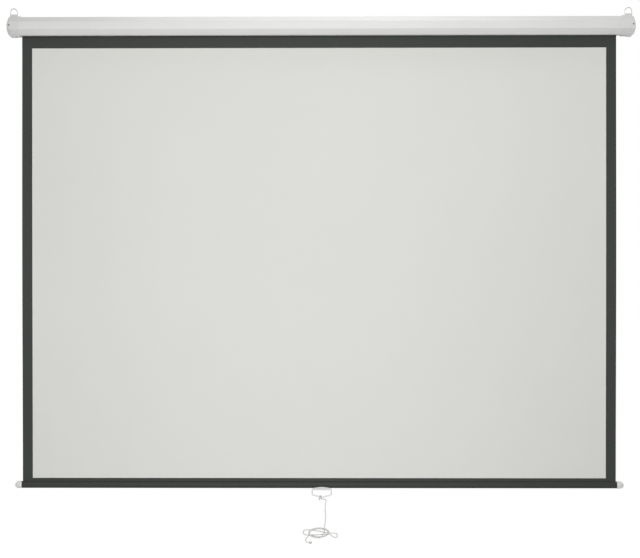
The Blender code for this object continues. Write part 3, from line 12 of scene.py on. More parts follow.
import bmesh
import bpy
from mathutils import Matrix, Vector


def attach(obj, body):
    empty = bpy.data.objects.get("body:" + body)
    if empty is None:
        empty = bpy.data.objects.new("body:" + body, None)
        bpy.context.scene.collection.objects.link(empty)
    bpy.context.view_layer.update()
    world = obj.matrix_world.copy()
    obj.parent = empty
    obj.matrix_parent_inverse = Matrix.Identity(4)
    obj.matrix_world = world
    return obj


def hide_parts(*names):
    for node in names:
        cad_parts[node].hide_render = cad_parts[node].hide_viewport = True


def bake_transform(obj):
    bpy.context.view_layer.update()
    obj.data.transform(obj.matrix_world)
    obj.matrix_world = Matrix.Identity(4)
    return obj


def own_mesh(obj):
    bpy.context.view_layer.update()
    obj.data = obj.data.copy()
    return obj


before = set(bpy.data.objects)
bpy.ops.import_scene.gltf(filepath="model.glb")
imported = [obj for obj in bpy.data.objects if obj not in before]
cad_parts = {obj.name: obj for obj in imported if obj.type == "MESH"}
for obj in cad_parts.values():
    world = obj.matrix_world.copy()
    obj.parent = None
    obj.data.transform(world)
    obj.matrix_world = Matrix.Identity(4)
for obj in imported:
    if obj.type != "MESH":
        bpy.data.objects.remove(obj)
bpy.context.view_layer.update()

# %% [markdown]
# ## Camera
# The photograph looks at the screen from about 4.8 metres away, from a little right of its
# middle. A long lens keeps the case and the bar nearly parallel. The place, the turn and the lens
# were fitted to the edges of the white area.

# %% Camera
VIEW_POINT = (0.0386, -4.7983, -0.9281)

# Tilt, roll and turn in degrees, and the lens in millimetres
VIEW_TURN = (-0.33, 0.025, 0.49)
LENS = 76.28


def put_in_scene(name, data):
    """A new object in the scene, for a camera, a lamp, a curve or a mesh."""
    made = bpy.data.objects.new(name, data)
    bpy.context.scene.collection.objects.link(made)
    return made


def place_camera():
    data = bpy.data.cameras.new("camera")
    data.lens = LENS
    data.sensor_width = 36
    data.clip_end = 60
    camera = put_in_scene("camera", data)
    camera.location = VIEW_POINT
    pitch, roll, yaw = (math.radians(v) for v in VIEW_TURN)
    camera.rotation_euler = (math.pi / 2 + pitch, roll, yaw)
    bpy.context.scene.camera = camera


place_camera()
print("camera at", VIEW_POINT, "with a lens of", LENS, "mm")

# %% [markdown]
# ## Finishes
# Each finish starts from what the real surface is and how it was made. In most of them a small
# pattern, such as the grain of a coating or the fine lines of drawn steel, varies the roughness
# and the relief. Colours are written as sRGB codes, because those can be read off a picture, and
# one function turns them to the linear values that a shader works with.


# %% Colour and node helpers
FINE_DEPTH = 0.0001


def linear(code):
    """The linear colour of a six-digit sRGB code, with full opacity."""
    parts = [int(code[i : i + 2], 16) / 255 for i in (0, 2, 4)]
    return [p / 12.92 if p <= 0.04045 else ((p + 0.055) / 1.055) ** 2.4 for p in parts] + [1.0]


def add_node(tree, kind, inputs=None, **settings):
    """Adds a node with its settings. Each input takes a value, or a socket to link from."""
    node = tree.nodes.new(kind)
    for name, value in settings.items():
        setattr(node, name, value)
    for name, value in (inputs or {}).items():
        if isinstance(value, bpy.types.NodeSocket):
            tree.links.new(value, node.inputs[name])
        else:
            node.inputs[name].default_value = value
    return node


def start_finish(name, **values):
    """A new material with a Principled shader, whose plain values are set on its own sockets."""
    made = bpy.data.materials.new(name)
    made.use_nodes = True
    shader = made.node_tree.nodes["Principled BSDF"]
    for socket, value in values.items():
        shader.inputs[socket.replace("_", " ")].default_value = value
    print("finish:", name)
    return made, made.node_tree, shader


def dress(tree, shader, shades, share, pattern, rough, relief):
    """Mixes two close shades by one pattern, and lets another vary the roughness and relief.

    Rough is the roughness and its spread. Relief is its strength and its depth in metres.
    """
    ends = {"Factor": share, 6: linear(shades[0]), 7: linear(shades[1])}
    colour = add_node(tree, "ShaderNodeMix", ends, data_type="RGBA")
    span = {"Value": pattern, "To Min": rough[0] - rough[1], "To Max": rough[0] + rough[1]}
    varied = add_node(tree, "ShaderNodeMapRange", span)
    push = {"Height": pattern, "Strength": relief[0], "Distance": relief[1]}
    bump = add_node(tree, "ShaderNodeBump", push)
    tree.links.new(colour.outputs[2], shader.inputs["Base Color"])
    tree.links.new(varied.outputs["Result"], shader.inputs["Roughness"])
    tree.links.new(bump.outputs["Normal"], shader.inputs["Normal"])


# %% [markdown]
# A coated or moulded surface is never one even colour. This finish mixes two close shades by a
# soft noise, which on the case is as wide as a hand, and presses a fine grain into the surface.
# The grain's real size in millimetres sets its scale: a powder coat ripples at about 1 mm, and a
# spark-eroded mould leaves a finer grain.


# %% Coated and moulded finishes
def coated(name, shades, roughness, grain_mm, relief, patch_mm=90.0, **values):
    """A painted or moulded surface, with a grain that is a quarter as deep as it is wide."""
    made, tree, shader = start_finish(name, **values)
    place = add_node(tree, "ShaderNodeTexCoord").outputs["Object"]
    wide = {"Vector": place, "Scale": 1000 / patch_mm, "Detail": 3.0, "Roughness": 0.55}
    patches = add_node(tree, "ShaderNodeTexNoise", wide).outputs["Fac"]
    fine = {"Vector": place, "Scale": 1000 / grain_mm, "Detail": 2.0, "Roughness": 0.5}
    grain = add_node(tree, "ShaderNodeTexNoise", fine).outputs["Fac"]
    dress(tree, shader, shades, patches, grain, (roughness, 0.06), (relief, grain_mm / 4000))
    return made


# Powder coat is baked plastic on steel: a soft sheen over a faint orange-peel ripple
powder_coat = coated("white powder coat", ("E1E1DF", "DDDDDB"), 0.45, 1.2, 0.2)
# ABS caps come from a lightly spark-eroded mould, so they are duller than the case
cap_abs = coated("light grey moulded ABS", ("DDDDDB", "D8D9D6"), 0.48, 0.8, 0.3, 40.0)
# Handle, saddle and bar caps come from a polished mould and shine softly
gloss_abs = coated("polished white ABS", ("E6E6E4", "E2E2E0"), 0.3, 1.6, 0.08, 40.0)
# The bar's enamel is sprayed and baked: nearly black, satin, with a little orange peel
SATIN = {"Specular_IOR_Level": 0.18}
bar_enamel = coated("satin black enamel", ("323432", "383A38"), 0.55, 1.6, 0.2, **SATIN)
# Roller plugs are glass-filled nylon, dark and matt
dark_nylon = coated("dark glass-filled nylon", ("3C3E42", "46484C"), 0.55, 0.5, 0.4, 20.0)
# The bush is plain nylon, waxy and slightly cream
plain_nylon = coated("natural nylon", ("E6E2D6", "DDD9CC"), 0.45, 0.8, 0.15, 15.0)


# %% [markdown]
# Bare metal shows how it was made. Zinc plate has a cloudy bright surface, and drawn steel has
# fine lines along the draw. Both use one noise: stretched it gives lines, and unstretched it
# gives clouds. The screws in the fronts of the caps get a darker zinc as painted shade, which
# stands for the shade in their recesses. The others are bright.


# %% Metals
def plain_metal(name, shades, roughness, cloud_mm, stretch, relief):
    """A bare metal with clouds or lines in its shade and roughness, pulled out along X."""
    made, tree, shader = start_finish(name, Metallic=1.0)
    place = add_node(tree, "ShaderNodeTexCoord").outputs["Object"]
    pull = {"Vector": place, "Scale": (1 / stretch, 1.0, 1.0)}
    drawn = add_node(tree, "ShaderNodeMapping", pull).outputs["Vector"]
    cloudy = {"Vector": drawn, "Scale": 1000 / cloud_mm, "Detail": 4.0}
    clouds = add_node(tree, "ShaderNodeTexNoise", cloudy).outputs["Fac"]
    dress(tree, shader, shades, clouds, clouds, (roughness, 0.1), (relief, FINE_DEPTH))
    return made


zinc_plate = plain_metal("bright zinc plate", ("CBCED1", "BCBFC3"), 0.3, 3.0, 1.0, 0.15)
zinc_wire = plain_metal("zinc-plated wire", ("AFAFAB", "A09F9C"), 0.32, 2.0, 1.0, 0.15)
# A darker zinc for the screws in the fronts of the caps: painted shade of their recesses
recess_shaded_zinc = plain_metal("zinc plate with painted recess shade", ("858582", "767673"), 0.5, 2.0, 1.0, 0.15)
drawn_steel = plain_metal("cold drawn steel", ("ADB0B3", "9EA1A4"), 0.38, 1.2, 12.0, 0.25)


# %% [markdown]
# The rod in the spring is beech: pale, with darker flecks that lie along the grain. A noise with
# flecks about a millimetre wide is pulled out along the rod, and a ramp gives it two browns.


# %% Beech rod
FLECKS_PER_METRE = 900.0
GRAIN_STRETCH = 0.06


def turned_beech():
    made, tree, shader = start_finish("turned beech", Roughness=0.6)
    place = add_node(tree, "ShaderNodeTexCoord").outputs["Object"]
    pull = {"Vector": place, "Scale": (GRAIN_STRETCH, 1.0, 1.0)}
    along = add_node(tree, "ShaderNodeMapping", pull).outputs["Vector"]
    spots = {"Vector": along, "Scale": FLECKS_PER_METRE, "Detail": 5.0}
    flecks = add_node(tree, "ShaderNodeTexNoise", spots).outputs["Fac"]
    ramp = add_node(tree, "ShaderNodeValToRGB", {"Fac": flecks})
    for stop, share, code in zip(ramp.color_ramp.elements, (0.3, 0.7), ("B58B5C", "DBBC90")):
        stop.position = share
        stop.color = linear(code)
    tree.links.new(ramp.outputs["Color"], shader.inputs["Base Color"])
    return made


beech = turned_beech()

# %% [markdown]
# The sheet is glass-fibre cloth with a PVC coat. The front is matt white, and the masking border
# is a matt black coat on the same cloth, so both show the same close weave. Its real thread is
# under half a millimetre, which no render from here can show. It is drawn at 9.4 mm, as coarse as
# it needs to show, and with a very low relief, so that it reads as coated cloth and not as paint.

# %% Coated cloth
CLOTH_WEAVE_MM = 9.425
PATCHES_PER_METRE = 2.2

# Metres from one crest to the next of a wave texture at scale one
WAVE_AT_SCALE_ONE = 2 * math.pi / 20


def coated_cloth(name, shades, roughness, relief):
    """PVC-coated cloth: two close shades in wide soft patches, and a low square weave."""
    made, tree, shader = start_finish(name, Specular_IOR_Level=0.25)
    place = add_node(tree, "ShaderNodeTexCoord").outputs["Object"]
    wide = {"Vector": place, "Scale": PATCHES_PER_METRE, "Detail": 2.0}
    patches = add_node(tree, "ShaderNodeTexNoise", wide).outputs["Fac"]
    scale = WAVE_AT_SCALE_ONE * 1000 / CLOTH_WEAVE_MM
    bands = {"Vector": place, "Scale": scale, "Distortion": 0.4, "Detail": 1.0}
    warp = add_node(tree, "ShaderNodeTexWave", bands, bands_direction="X").outputs["Fac"]
    weft = add_node(tree, "ShaderNodeTexWave", bands, bands_direction="Z").outputs["Fac"]
    threads = {0: warp, 1: weft}
    weave = add_node(tree, "ShaderNodeMath", threads, operation="MULTIPLY").outputs["Value"]
    dress(tree, shader, shades, patches, weave, (roughness, 0.05), (relief, FINE_DEPTH))
    return made


white_cloth = coated_cloth("matt white coated cloth", ("E1E2DD", "DEDFDA"), 0.85, 0.15)
black_cloth = coated_cloth("matt black coated cloth", ("343734", "313431"), 0.62, 0.25)

# %% [markdown]
# ## Cord
# The cord is 3.5 mm braided polyester. It is tied round the handle with two turns, hangs down,
# and is put away in a hank: three oval turns, an ear at each side, and a short tail with a
# stopper knot. It is one unbroken tube along one route, because a real cord has no joints.
# The route is the model's own, in the same real sizes, so it lies where the model's solids lie.

# %% Route sizes
CORD = 0.0035
CORD_GAP = 0.0008
HANDLE_X = 0.0032
BAR_Y = 0.0080
PIN_Z = -1.70115
HANDLE_ROD = 0.0045
HANDLE_HALF = 0.0342
HANDLE_CORNER_DROP = 0.0200
HANDLE_DROP = 0.0300
HANDLE_POINT = 0.0090
HANDLE_TIP = Vector((HANDLE_X, BAR_Y, PIN_Z - HANDLE_DROP))
HITCH_START = -0.0080
HITCH_WRAPS = 2
HITCH_REACH = 0.0050
HITCH_FRONT = 0.0044
HITCH_SAG = 0.0006
BEND_RADIUS = 0.0070
BEND_REACH = 0.0116
HANK_LAYER = 0.0042
HANK_LEAD = 0.0042
HANK_SHIFT = -0.0103
HANK_DROP = 0.1241
HANK_ENTRY = (0.0205, 0.0246)
HANK_RETURN = (0.0338, -0.0066)
HANK_EXIT = (-0.0222, -0.0104)
OVAL_TURNS = 3
OVAL_HALF = (0.0360, 0.0168)
OVAL_SQUEEZE = 0.0026
LOOP_POINTS = 24
END_KNOT_WRAPS = 1

# Each ear: the X and Z of its middle, half its width and half its height
LEFT_EAR = (-0.0446, 0.0, 0.0110, 0.0090)
RIGHT_EAR = (0.0583, -0.0113, 0.0076, 0.0076)

# Short end of the hitch: X from the first turn, Y, and Z from under the rod
SHORT_END = ((-0.0004, 0.0050, -0.0086), (-0.0006, 0.0050, -0.0052), (-0.0004, 0.0037, -0.0019))

# Way out of the hitch: shares of its reach, of its way to the front and of its sag
LEAD_OUT = ((0.12, 0.45, 0.17), (0.36, 0.85, 0.67), (0.68, 1.0, 1.0), (1.0, 1.0, 1.0))

# Way down of the cord: distance along X from the hitch, and share of the fall
DROP_WAY = ((0.0076, 0.20), (0.0066, 0.36), (0.0078, 0.50))
DROP_WAY += ((0.0084, 0.65), (0.0078, 0.78), (0.0062, 0.89))

# Way of the tail from the hank, in X and Z
TAIL_WAY = ((-0.0105, -0.0038), (-0.0180, -0.0102), (-0.0216, -0.0170))
TAIL_WAY += ((-0.0208, -0.0226), (-0.0175, -0.0258), (-0.0145, -0.0264))


def smooth_route(route, spacing):
    """Points at even spacing on a smooth curve through the route's points."""
    route = [Vector(p) for p in route]
    ends = [2 * route[0] - route[1]] + route + [2 * route[-1] - route[-2]]
    fine = [route[0]]
    steps = 40
    for a, b, c, d in zip(ends, ends[1:], ends[2:], ends[3:]):
        for k in range(1, steps + 1):
            t = k / steps
            square = (2 * a - 5 * b + 4 * c - d) * t**2
            cube = (3 * b - a - 3 * c + d) * t**3
            fine.append(0.5 * (2 * b + (c - a) * t + square + cube))
    lengths = [(q - p).length for p, q in zip(fine, fine[1:])]
    count = max(2, round(sum(lengths) / spacing))
    step = sum(lengths) / count
    even = [fine[0]]
    passed = 0.0
    for p, q, length in zip(fine, fine[1:], lengths):
        while len(even) < count and passed + length >= step * len(even):
            even.append(p.lerp(q, (step * len(even) - passed) / length))
        passed += length
    even.append(fine[-1])
    return even


def filleted(points, radii, steps):
    """A path with its inner corners rounded by arcs of the given radii."""
    points = [Vector(p) for p in points]
    path = [points[0]]
    for before, here, after, radius in zip(points, points[1:], points[2:], radii):
        come = (before - here).normalized()
        leave = (after - here).normalized()
        half_angle = come.angle(leave) / 2
        reach = radius / math.tan(half_angle)
        centre = here + (come + leave).normalized() * (radius / math.sin(half_angle))
        first = here + come * reach - centre
        last = here + leave * reach - centre
        sweep = first.angle(last)
        for k in range(steps + 1):
            share = k / steps
            first_part = first * (math.sin((1 - share) * sweep) / math.sin(sweep))
            last_part = last * (math.sin(share * sweep) / math.sin(sweep))
            path.append(centre + first_part + last_part)
    path.append(points[-1])
    return path


# %% Hitch on the handle
def rod_rise(x):
    """How far the handle's rod lies above its point, at a distance along X from it."""
    slope = (HANDLE_DROP - HANDLE_CORNER_DROP) / HANDLE_HALF
    half_angle = math.pi / 2 - math.atan(slope)
    return math.hypot(slope * x, HANDLE_POINT * (1 / math.sin(half_angle) - 1))


def hitch_route():
    """Two turns round the handle's rod, a short end below and the cord's way out to +X."""
    radius = HANDLE_ROD / 2 + CORD / 2 + CORD_GAP
    first = HITCH_START
    last = first + (CORD + CORD_GAP) * HITCH_WRAPS
    low = rod_rise(first) - radius
    line = [(first + x, y, low + z) for x, y, z in SHORT_END]
    steps = 12 * HITCH_WRAPS
    for k in range(steps + 1):
        turn = 2 * math.pi * HITCH_WRAPS * k / steps
        x = first + (last - first) * k / steps
        line.append((x, -radius * math.sin(turn), rod_rise(x) - radius * math.cos(turn)))
    low = rod_rise(last) - radius
    for reach, front, sag in LEAD_OUT:
        line.append((last + reach * HITCH_REACH, -front * HITCH_FRONT, low - sag * HITCH_SAG))
    return [HANDLE_TIP + Vector(p) for p in line]


# %% Shapes of the hank's runs
def quarter_turn(share):
    """The way into the hank, which ends level at the ovals' foot."""
    turn = math.pi / 2 * share
    start_z = HANK_ENTRY[1] - HANK_LEAD
    fall = start_z + OVAL_HALF[1]
    return HANK_ENTRY[0] * math.cos(turn), start_z - fall * math.sin(turn)


def oval_turns(share):
    """The oval turns, which are a little smaller half way through."""
    turn = 2 * math.pi * OVAL_TURNS * share
    squeeze = OVAL_SQUEEZE * math.sin(math.pi * share) ** 2
    wide, tall = (half - squeeze for half in OVAL_HALF)
    return -wide * math.sin(turn), -tall * math.cos(turn)


def level_run(start, end, share):
    """A run between two points that leaves and arrives level."""
    rise = (1 - math.cos(math.pi * share)) / 2
    return start[0] + (end[0] - start[0]) * share, start[1] + (end[1] - start[1]) * rise


def ear_turn(ear, sign, share):
    """Half an oval at the hank's side: on the left upwards, on the right downwards."""
    x, z, wide, tall = ear
    turn = math.pi * share
    return x + sign * wide * math.sin(turn), z + sign * tall * math.cos(turn)


# %% Hank of oval turns with two ears
def hank_route(hitch_end):
    """The hank's one run of cord, its strands in layers from front to back."""
    left = partial(ear_turn, LEFT_EAR, -1)
    right = partial(ear_turn, RIGHT_EAR, 1)
    runs = (
        (quarter_turn, 1.0, LOOP_POINTS // 3),
        (oval_turns, OVAL_TURNS, LOOP_POINTS * OVAL_TURNS),
        (partial(level_run, oval_turns(0), left(0)), 0.2, 6),
        (left, 0.3, LOOP_POINTS // 2),
        (partial(level_run, left(1), right(0)), 0.5, 12),
        (right, 0.1, LOOP_POINTS // 2),
        (partial(level_run, right(1), HANK_RETURN), 0.2, 6),
        (partial(level_run, HANK_RETURN, HANK_EXIT), 0.3, 8),
    )
    layer = -sum(layers for shape, layers, steps in runs) / 2
    centre = Vector((HANDLE_TIP.x + HANK_SHIFT, hitch_end.y, HANDLE_TIP.z - HANK_DROP))

    def at(place, layer):
        return centre + Vector((place[0], layer * HANK_LAYER, place[1]))

    line = [at(HANK_ENTRY, layer), at(quarter_turn(0), layer)]
    for shape, layers, steps in runs:
        line += [at(shape(k / steps), layer + layers * k / steps) for k in range(1, steps + 1)]
        layer += layers
    line.append(at((HANK_EXIT[0] - CORD, HANK_EXIT[1]), layer))
    return line


# %% Drop, tail and stopper knot
def drop_route(start, end):
    """The cord from the hitch down to the hank: a bend, a slow swing to the right and back."""
    fall = end.z - start.z
    first_x, first_share = DROP_WAY[0]
    bend = filleted([(0, 0), (BEND_REACH, 0), (first_x, fall * first_share)], [BEND_RADIUS], 6)
    route = [(p.x, p.y / fall) for p in bend[:-1]] + list(DROP_WAY)
    points = [start + Vector((x, (end.y - start.y) * share, fall * share)) for x, share in route]
    points += [end + Vector((0, 0, CORD)), end]
    return smooth_route(points, CORD)


def tail_route(start):
    """The cord's last run: out of the hank to the left, down and round to the right."""
    last_x, last_z = TAIL_WAY[-1]
    route = [(0, 0), (-CORD, 0), *TAIL_WAY, (last_x + CORD, last_z)]
    return smooth_route([start + Vector((x, 0, z)) for x, z in route], CORD)


def stopper_route(start):
    """A stopper knot: the cord runs through its own turns and winds back round itself."""
    radius = CORD + CORD_GAP
    core = radius * END_KNOT_WRAPS + CORD
    line = [start + Vector((x, 0, 0)) for x in (0, core / 2, core)]
    for k in range(1, 7):
        turn = math.pi * k / 6
        out = radius * math.sin(turn / 2)
        along = core + radius / 2 * math.sin(turn)
        line.append(start + Vector((along, out * math.sin(turn), out * math.cos(turn))))
    steps = 12 * END_KNOT_WRAPS
    for k in range(1, steps + 1):
        turn = math.pi + 2 * math.pi * END_KNOT_WRAPS * k / steps
        along = core - radius * END_KNOT_WRAPS * k / steps
        line.append(start + Vector((along, radius * math.sin(turn), radius * math.cos(turn))))
    return line


# %% The whole route
def whole_route():
    """The route from the short end at the handle to the end of the stopper knot."""
    hitch = smooth_route(hitch_route(), CORD / 3)
    hank = hank_route(hitch[-1])
    drop = drop_route(hitch[-1], hank[0])
    tail = tail_route(hank[-1])
    return hitch + drop[1:] + hank[1:] + tail[1:] + stopper_route(tail[-1])[1:]


cord_route = whole_route()

# %% [markdown]
# ## Meshes from sections
# A tube, a moulding or a bar is a row of closed sections joined up. These helpers join any such
# row, carry a pair of square directions along a bent line without twisting them, and turn the
# result into an object with its finish, its shading and its body.


# %% Mesh helpers
def join_rings(bm, rings):
    """Walls between each two rings, and a face over both ends. Gives back the walls."""
    sides = len(rings[0])
    walls = []
    for near, far in zip(rings, rings[1:]):
        for i in range(sides):
            j = (i + 1) % sides
            walls.append(bm.faces.new((near[i], near[j], far[j], far[i])))
    bm.faces.new(rings[0])
    bm.faces.new(rings[-1])
    return walls


def carried_along(line, across):
    """Each point of a line, with two directions square to its run that don't twist round it."""
    for i, point in enumerate(line):
        run = (line[min(i + 1, len(line) - 1)] - line[max(i - 1, 0)]).normalized()
        across = (across - run * across.dot(run)).normalized()
        yield point, across, run.cross(across)


def circle(centre, across, other, radius, sides):
    """Points round a centre, on two directions that are square to each other."""
    turns = [2 * math.pi * k / sides for k in range(sides)]
    return [centre + (across * math.cos(t) + other * math.sin(t)) * radius for t in turns]


def mesh_of(name, bm, *finishes):
    """The plain mesh that an edited one became, with its finishes."""
    mesh = bpy.data.meshes.new(name)
    bm.to_mesh(mesh)
    bm.free()
    for finish in finishes:
        mesh.materials.append(finish)
    return mesh


def shade_mesh(mesh, smooth_angle):
    """Smooth shading, with every edge that is sharper than the angle kept crisp."""
    mesh.shade_smooth()
    mesh.set_sharp_from_angle(angle=math.radians(smooth_angle))


def add_piece(name, bm, finishes, smooth_angle=35):
    """A piece from a closed mesh, its faces turned outwards, smooth up to an edge angle."""
    bmesh.ops.recalc_face_normals(bm, faces=bm.faces)
    mesh = mesh_of(name, bm, *finishes)
    shade_mesh(mesh, smooth_angle)
    return put_in_scene(name, mesh)


def loft(name, sections, finish, smooth_angle=35):
    """A solid through closed sections with the same number of points, flat at both ends."""
    bm = bmesh.new()
    join_rings(bm, [[bm.verts.new(p) for p in section] for section in sections])
    return add_piece(name, bm, [finish], smooth_angle)


def settle(piece, body, slot, *nodes):
    """Gives a finished piece its body and hides the model's solids that it stands for. The slot is
    not used.
    """
    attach(piece, body)
    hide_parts(*nodes)
    print(piece.name, "faces:", len(piece.data.polygons))


# %% [markdown]
# The cord's braid is real relief on its tube. Eight strands cross, four each way, so the radius
# rises and falls with two opposite spirals, one strand over the other. The tube also carries a
# UV map, with the length in metres along it, so the yarn's threads follow the cord's loops.

# %% Braided tube
BRAID_SIDES = 16
STRANDS_EACH_WAY = 4
BRAID_STEP = 0.0006
BRAID_PITCH = 0.0105
BRAID_RELIEF = 0.07
TIP_ROUND = 0.0008
TIP_FLAT = 0.0001
YARN_SLANT = 0.7


def braided_tube(name, route, diameter, finish):
    """A tube along the route whose surface rises and falls as a braid does."""
    line = smooth_route(route, BRAID_STEP)
    bm = bmesh.new()
    uv = bm.loops.layers.uv.new("along")
    start = (line[1] - line[0]).orthogonal().normalized()
    rings = []
    for i, (point, across, other) in enumerate(carried_along(line, start)):
        from_end = min(i, len(line) - 1 - i) * BRAID_STEP
        close = math.sqrt(min(1.0, (from_end + TIP_FLAT) / TIP_ROUND))
        twist = 2 * math.pi * i * BRAID_STEP / BRAID_PITCH
        ring = []
        for k in range(BRAID_SIDES):
            turn = 2 * math.pi * k / BRAID_SIDES
            ways = (STRANDS_EACH_WAY * (turn + sign * twist) for sign in (-1, 1))
            strands = max(math.cos(way) for way in ways)
            radius = diameter / 2 * (1 - BRAID_RELIEF * (1 - strands) / 2) * close
            side = across * math.cos(turn) + other * math.sin(turn)
            ring.append(bm.verts.new(point + side * radius))
        rings.append(ring)
    for index, wall in enumerate(join_rings(bm, rings)):
        i, k = divmod(index, BRAID_SIDES)
        corners = ((i, k), (i, k + 1), (i + 1, k + 1), (i + 1, k))
        for loop, (along, round_part) in zip(wall.loops, corners):
            loop[uv].uv = (along * BRAID_STEP, round_part / BRAID_SIDES)
    return add_piece(name, bm, [finish], 180)


def braided_polyester():
    """White polyester yarn: soft, slightly shiny threads that cross along the tube."""
    soft = {"Sheen_Weight": 0.25, "Sheen_Roughness": 0.4}
    made, tree, shader = start_finish("braided white polyester", **soft)
    lay = add_node(tree, "ShaderNodeUVMap", uv_map="along").outputs["UV"]
    slant = {"Vector": lay, "Scale": (1 / BRAID_PITCH, 1, 1), "Rotation": (0, 0, YARN_SLANT)}
    threads = add_node(tree, "ShaderNodeMapping", slant).outputs["Vector"]
    bands = {"Vector": threads, "Scale": 6.0, "Distortion": 1.0}
    yarn = add_node(tree, "ShaderNodeTexWave", bands).outputs["Fac"]
    dress(tree, shader, ("CFCFCB", "E4E4E0"), yarn, yarn, (0.7, 0.1), (0.4, FINE_DEPTH))
    return made


pull_cord = braided_tube("pull_cord", cord_route, CORD, braided_polyester())
print("cord faces:", len(pull_cord.data.polygons))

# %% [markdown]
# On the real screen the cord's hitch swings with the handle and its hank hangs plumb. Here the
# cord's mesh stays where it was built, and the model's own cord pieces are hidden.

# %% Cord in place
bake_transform(pull_cord)
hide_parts("cord_hitch", "cord_drop", "cord_hank", "cord_tail", "cord_end_knot")

# %% [markdown]
# ## Case
# The case is one strip of steel, roll-formed to an octagon and powder-coated. Its corners are
# small rounds, because a rolled corner can't be sharp, and below it has a slot whose edges are
# turned up so that they don't scratch the sheet. The section is drawn flat and a node tree pulls
# it out to length. The tree's inputs are the length and the finish, so the same tree also makes
# the weight bar and the strips of cloth inside.


# %% Node tree helpers
def start_tree(name, inputs, output):
    """A geometry tree with named inputs. Gives back the tree and its inputs' sockets."""
    tree = bpy.data.node_groups.new(name, "GeometryNodeTree")
    for label, kind in inputs.items():
        tree.interface.new_socket(label, in_out="INPUT", socket_type="NodeSocket" + kind)
    tree.interface.new_socket(output, in_out="OUTPUT", socket_type="NodeSocketGeometry")
    return tree, add_node(tree, "NodeGroupInput").outputs


def end_tree(tree, geometry, finish, output):
    """Makes every copy real, gives it its finish and hands it out of the tree."""
    solid = add_node(tree, "GeometryNodeRealizeInstances", {"Geometry": geometry})
    coat = {"Geometry": solid.outputs["Geometry"], "Material": finish}
    painted = add_node(tree, "GeometryNodeSetMaterial", coat)
    add_node(tree, "NodeGroupOutput", {output: painted.outputs["Geometry"]})


def result_of(piece):
    """The plain mesh that a piece's modifiers or its bevel make."""
    bpy.context.view_layer.update()
    seen = piece.evaluated_get(bpy.context.evaluated_depsgraph_get())
    return bpy.data.meshes.new_from_object(seen)


def keep_result(piece, smooth_angle=35):
    """Makes what the piece's modifiers show its own mesh, and removes them."""
    mesh = result_of(piece)
    piece.modifiers.clear()
    piece.data = mesh
    shade_mesh(mesh, smooth_angle)


def run_tree(piece, tree, smooth_angle=35, **values):
    """Runs a tree on a piece. Its inputs are set by their identifiers, before it is evaluated."""
    modifier = piece.modifiers.new(tree.name, "NODES")
    modifier.node_group = tree
    for item in tree.interface.items_tree:
        if item.in_out == "INPUT" and item.name in values:
            modifier[item.identifier] = values[item.name]
    keep_result(piece, smooth_angle)


# %% Node tree for a drawn section
WELD = 0.00001


def drawn_section_tree():
    inputs = {"Section": "Geometry", "Length": "Float", "Finish": "Material"}
    tree, enter = start_tree("drawn section", inputs, "Drawn")
    reach = add_node(tree, "ShaderNodeCombineXYZ", {"X": enter["Length"]}).outputs["Vector"]
    pull = {"Mesh": enter["Section"], "Offset": reach, "Offset Scale": 1.0, "Individual": False}
    walls = add_node(tree, "GeometryNodeExtrudeMesh", pull, mode="FACES")
    foot = add_node(tree, "GeometryNodeFlipFaces", {"Mesh": enter["Section"]})
    both = add_node(tree, "GeometryNodeJoinGeometry", {"Geometry": walls.outputs["Mesh"]})
    tree.links.new(foot.outputs["Mesh"], both.inputs["Geometry"])
    seam = {"Geometry": both.outputs["Geometry"], "Distance": WELD}
    weld = add_node(tree, "GeometryNodeMergeByDistance", seam)
    end_tree(tree, weld.outputs["Geometry"], enter["Finish"], "Drawn")
    return tree


def drawn_piece(name, outline, start, end, finish, smooth_angle):
    """A section in Y and Z, drawn along X from start to end by the node tree."""
    bm = bmesh.new()
    face = bm.faces.new([bm.verts.new((start, y, z)) for y, z in outline])
    face.normal_update()
    if face.normal.x < 0:
        face.normal_flip()
    made = put_in_scene(name, mesh_of(name, bm, finish))
    run_tree(made, section_tree, smooth_angle, Length=end - start, Finish=finish)
    return made


section_tree = drawn_section_tree()
print("node tree:", section_tree.name, "with", len(section_tree.nodes), "nodes")


# %% Section outlines
def octagon_corners(half):
    """The corners of an octagon from the front of its underside, round by the front."""
    side = half * math.tan(math.pi / 8)
    front = [(-side, -half), (-half, -side), (-half, side), (-side, half)]
    return front + [(-y, z) for y, z in reversed(front)]


def beside(path, distance):
    """An open path moved sideways by a distance, to the right of its run."""
    points = [Vector(p) for p in path]
    moved = []
    for i, here in enumerate(points):
        runs = []
        if i > 0:
            runs.append((here - points[i - 1]).normalized())
        if i < len(points) - 1:
            runs.append((points[i + 1] - here).normalized())
        sides = [Vector((run.y, -run.x)) for run in runs]
        middle = sum(sides, Vector((0, 0))).normalized()
        moved.append(here + middle * (distance / middle.dot(sides[0])))
    return moved


def strip(path, distance):
    """The closed outline of a strip along an open path, its thickness to the right."""
    return [tuple(p) for p in path] + [tuple(p) for p in beside(path, distance)[::-1]]


def arc(middle, half, start, end, steps):
    """Points on an oval, given by half its width and height, from one angle to another."""
    turns = [start + (end - start) * k / steps for k in range(steps + 1)]
    return [(middle[0] + half[0] * math.cos(t), middle[1] + half[1] * math.sin(t)) for t in turns]


# %% Case
CASE_HALF = 0.0325
CASE_WALL = 0.0012
CASE_Z = -0.0628
CASE_ROUND = 0.0024
CASE_LEFT = -1.0903
CASE_RIGHT = 1.0903
SLOT = (0.0020, 0.0112)
SLOT_LIP = 0.0030


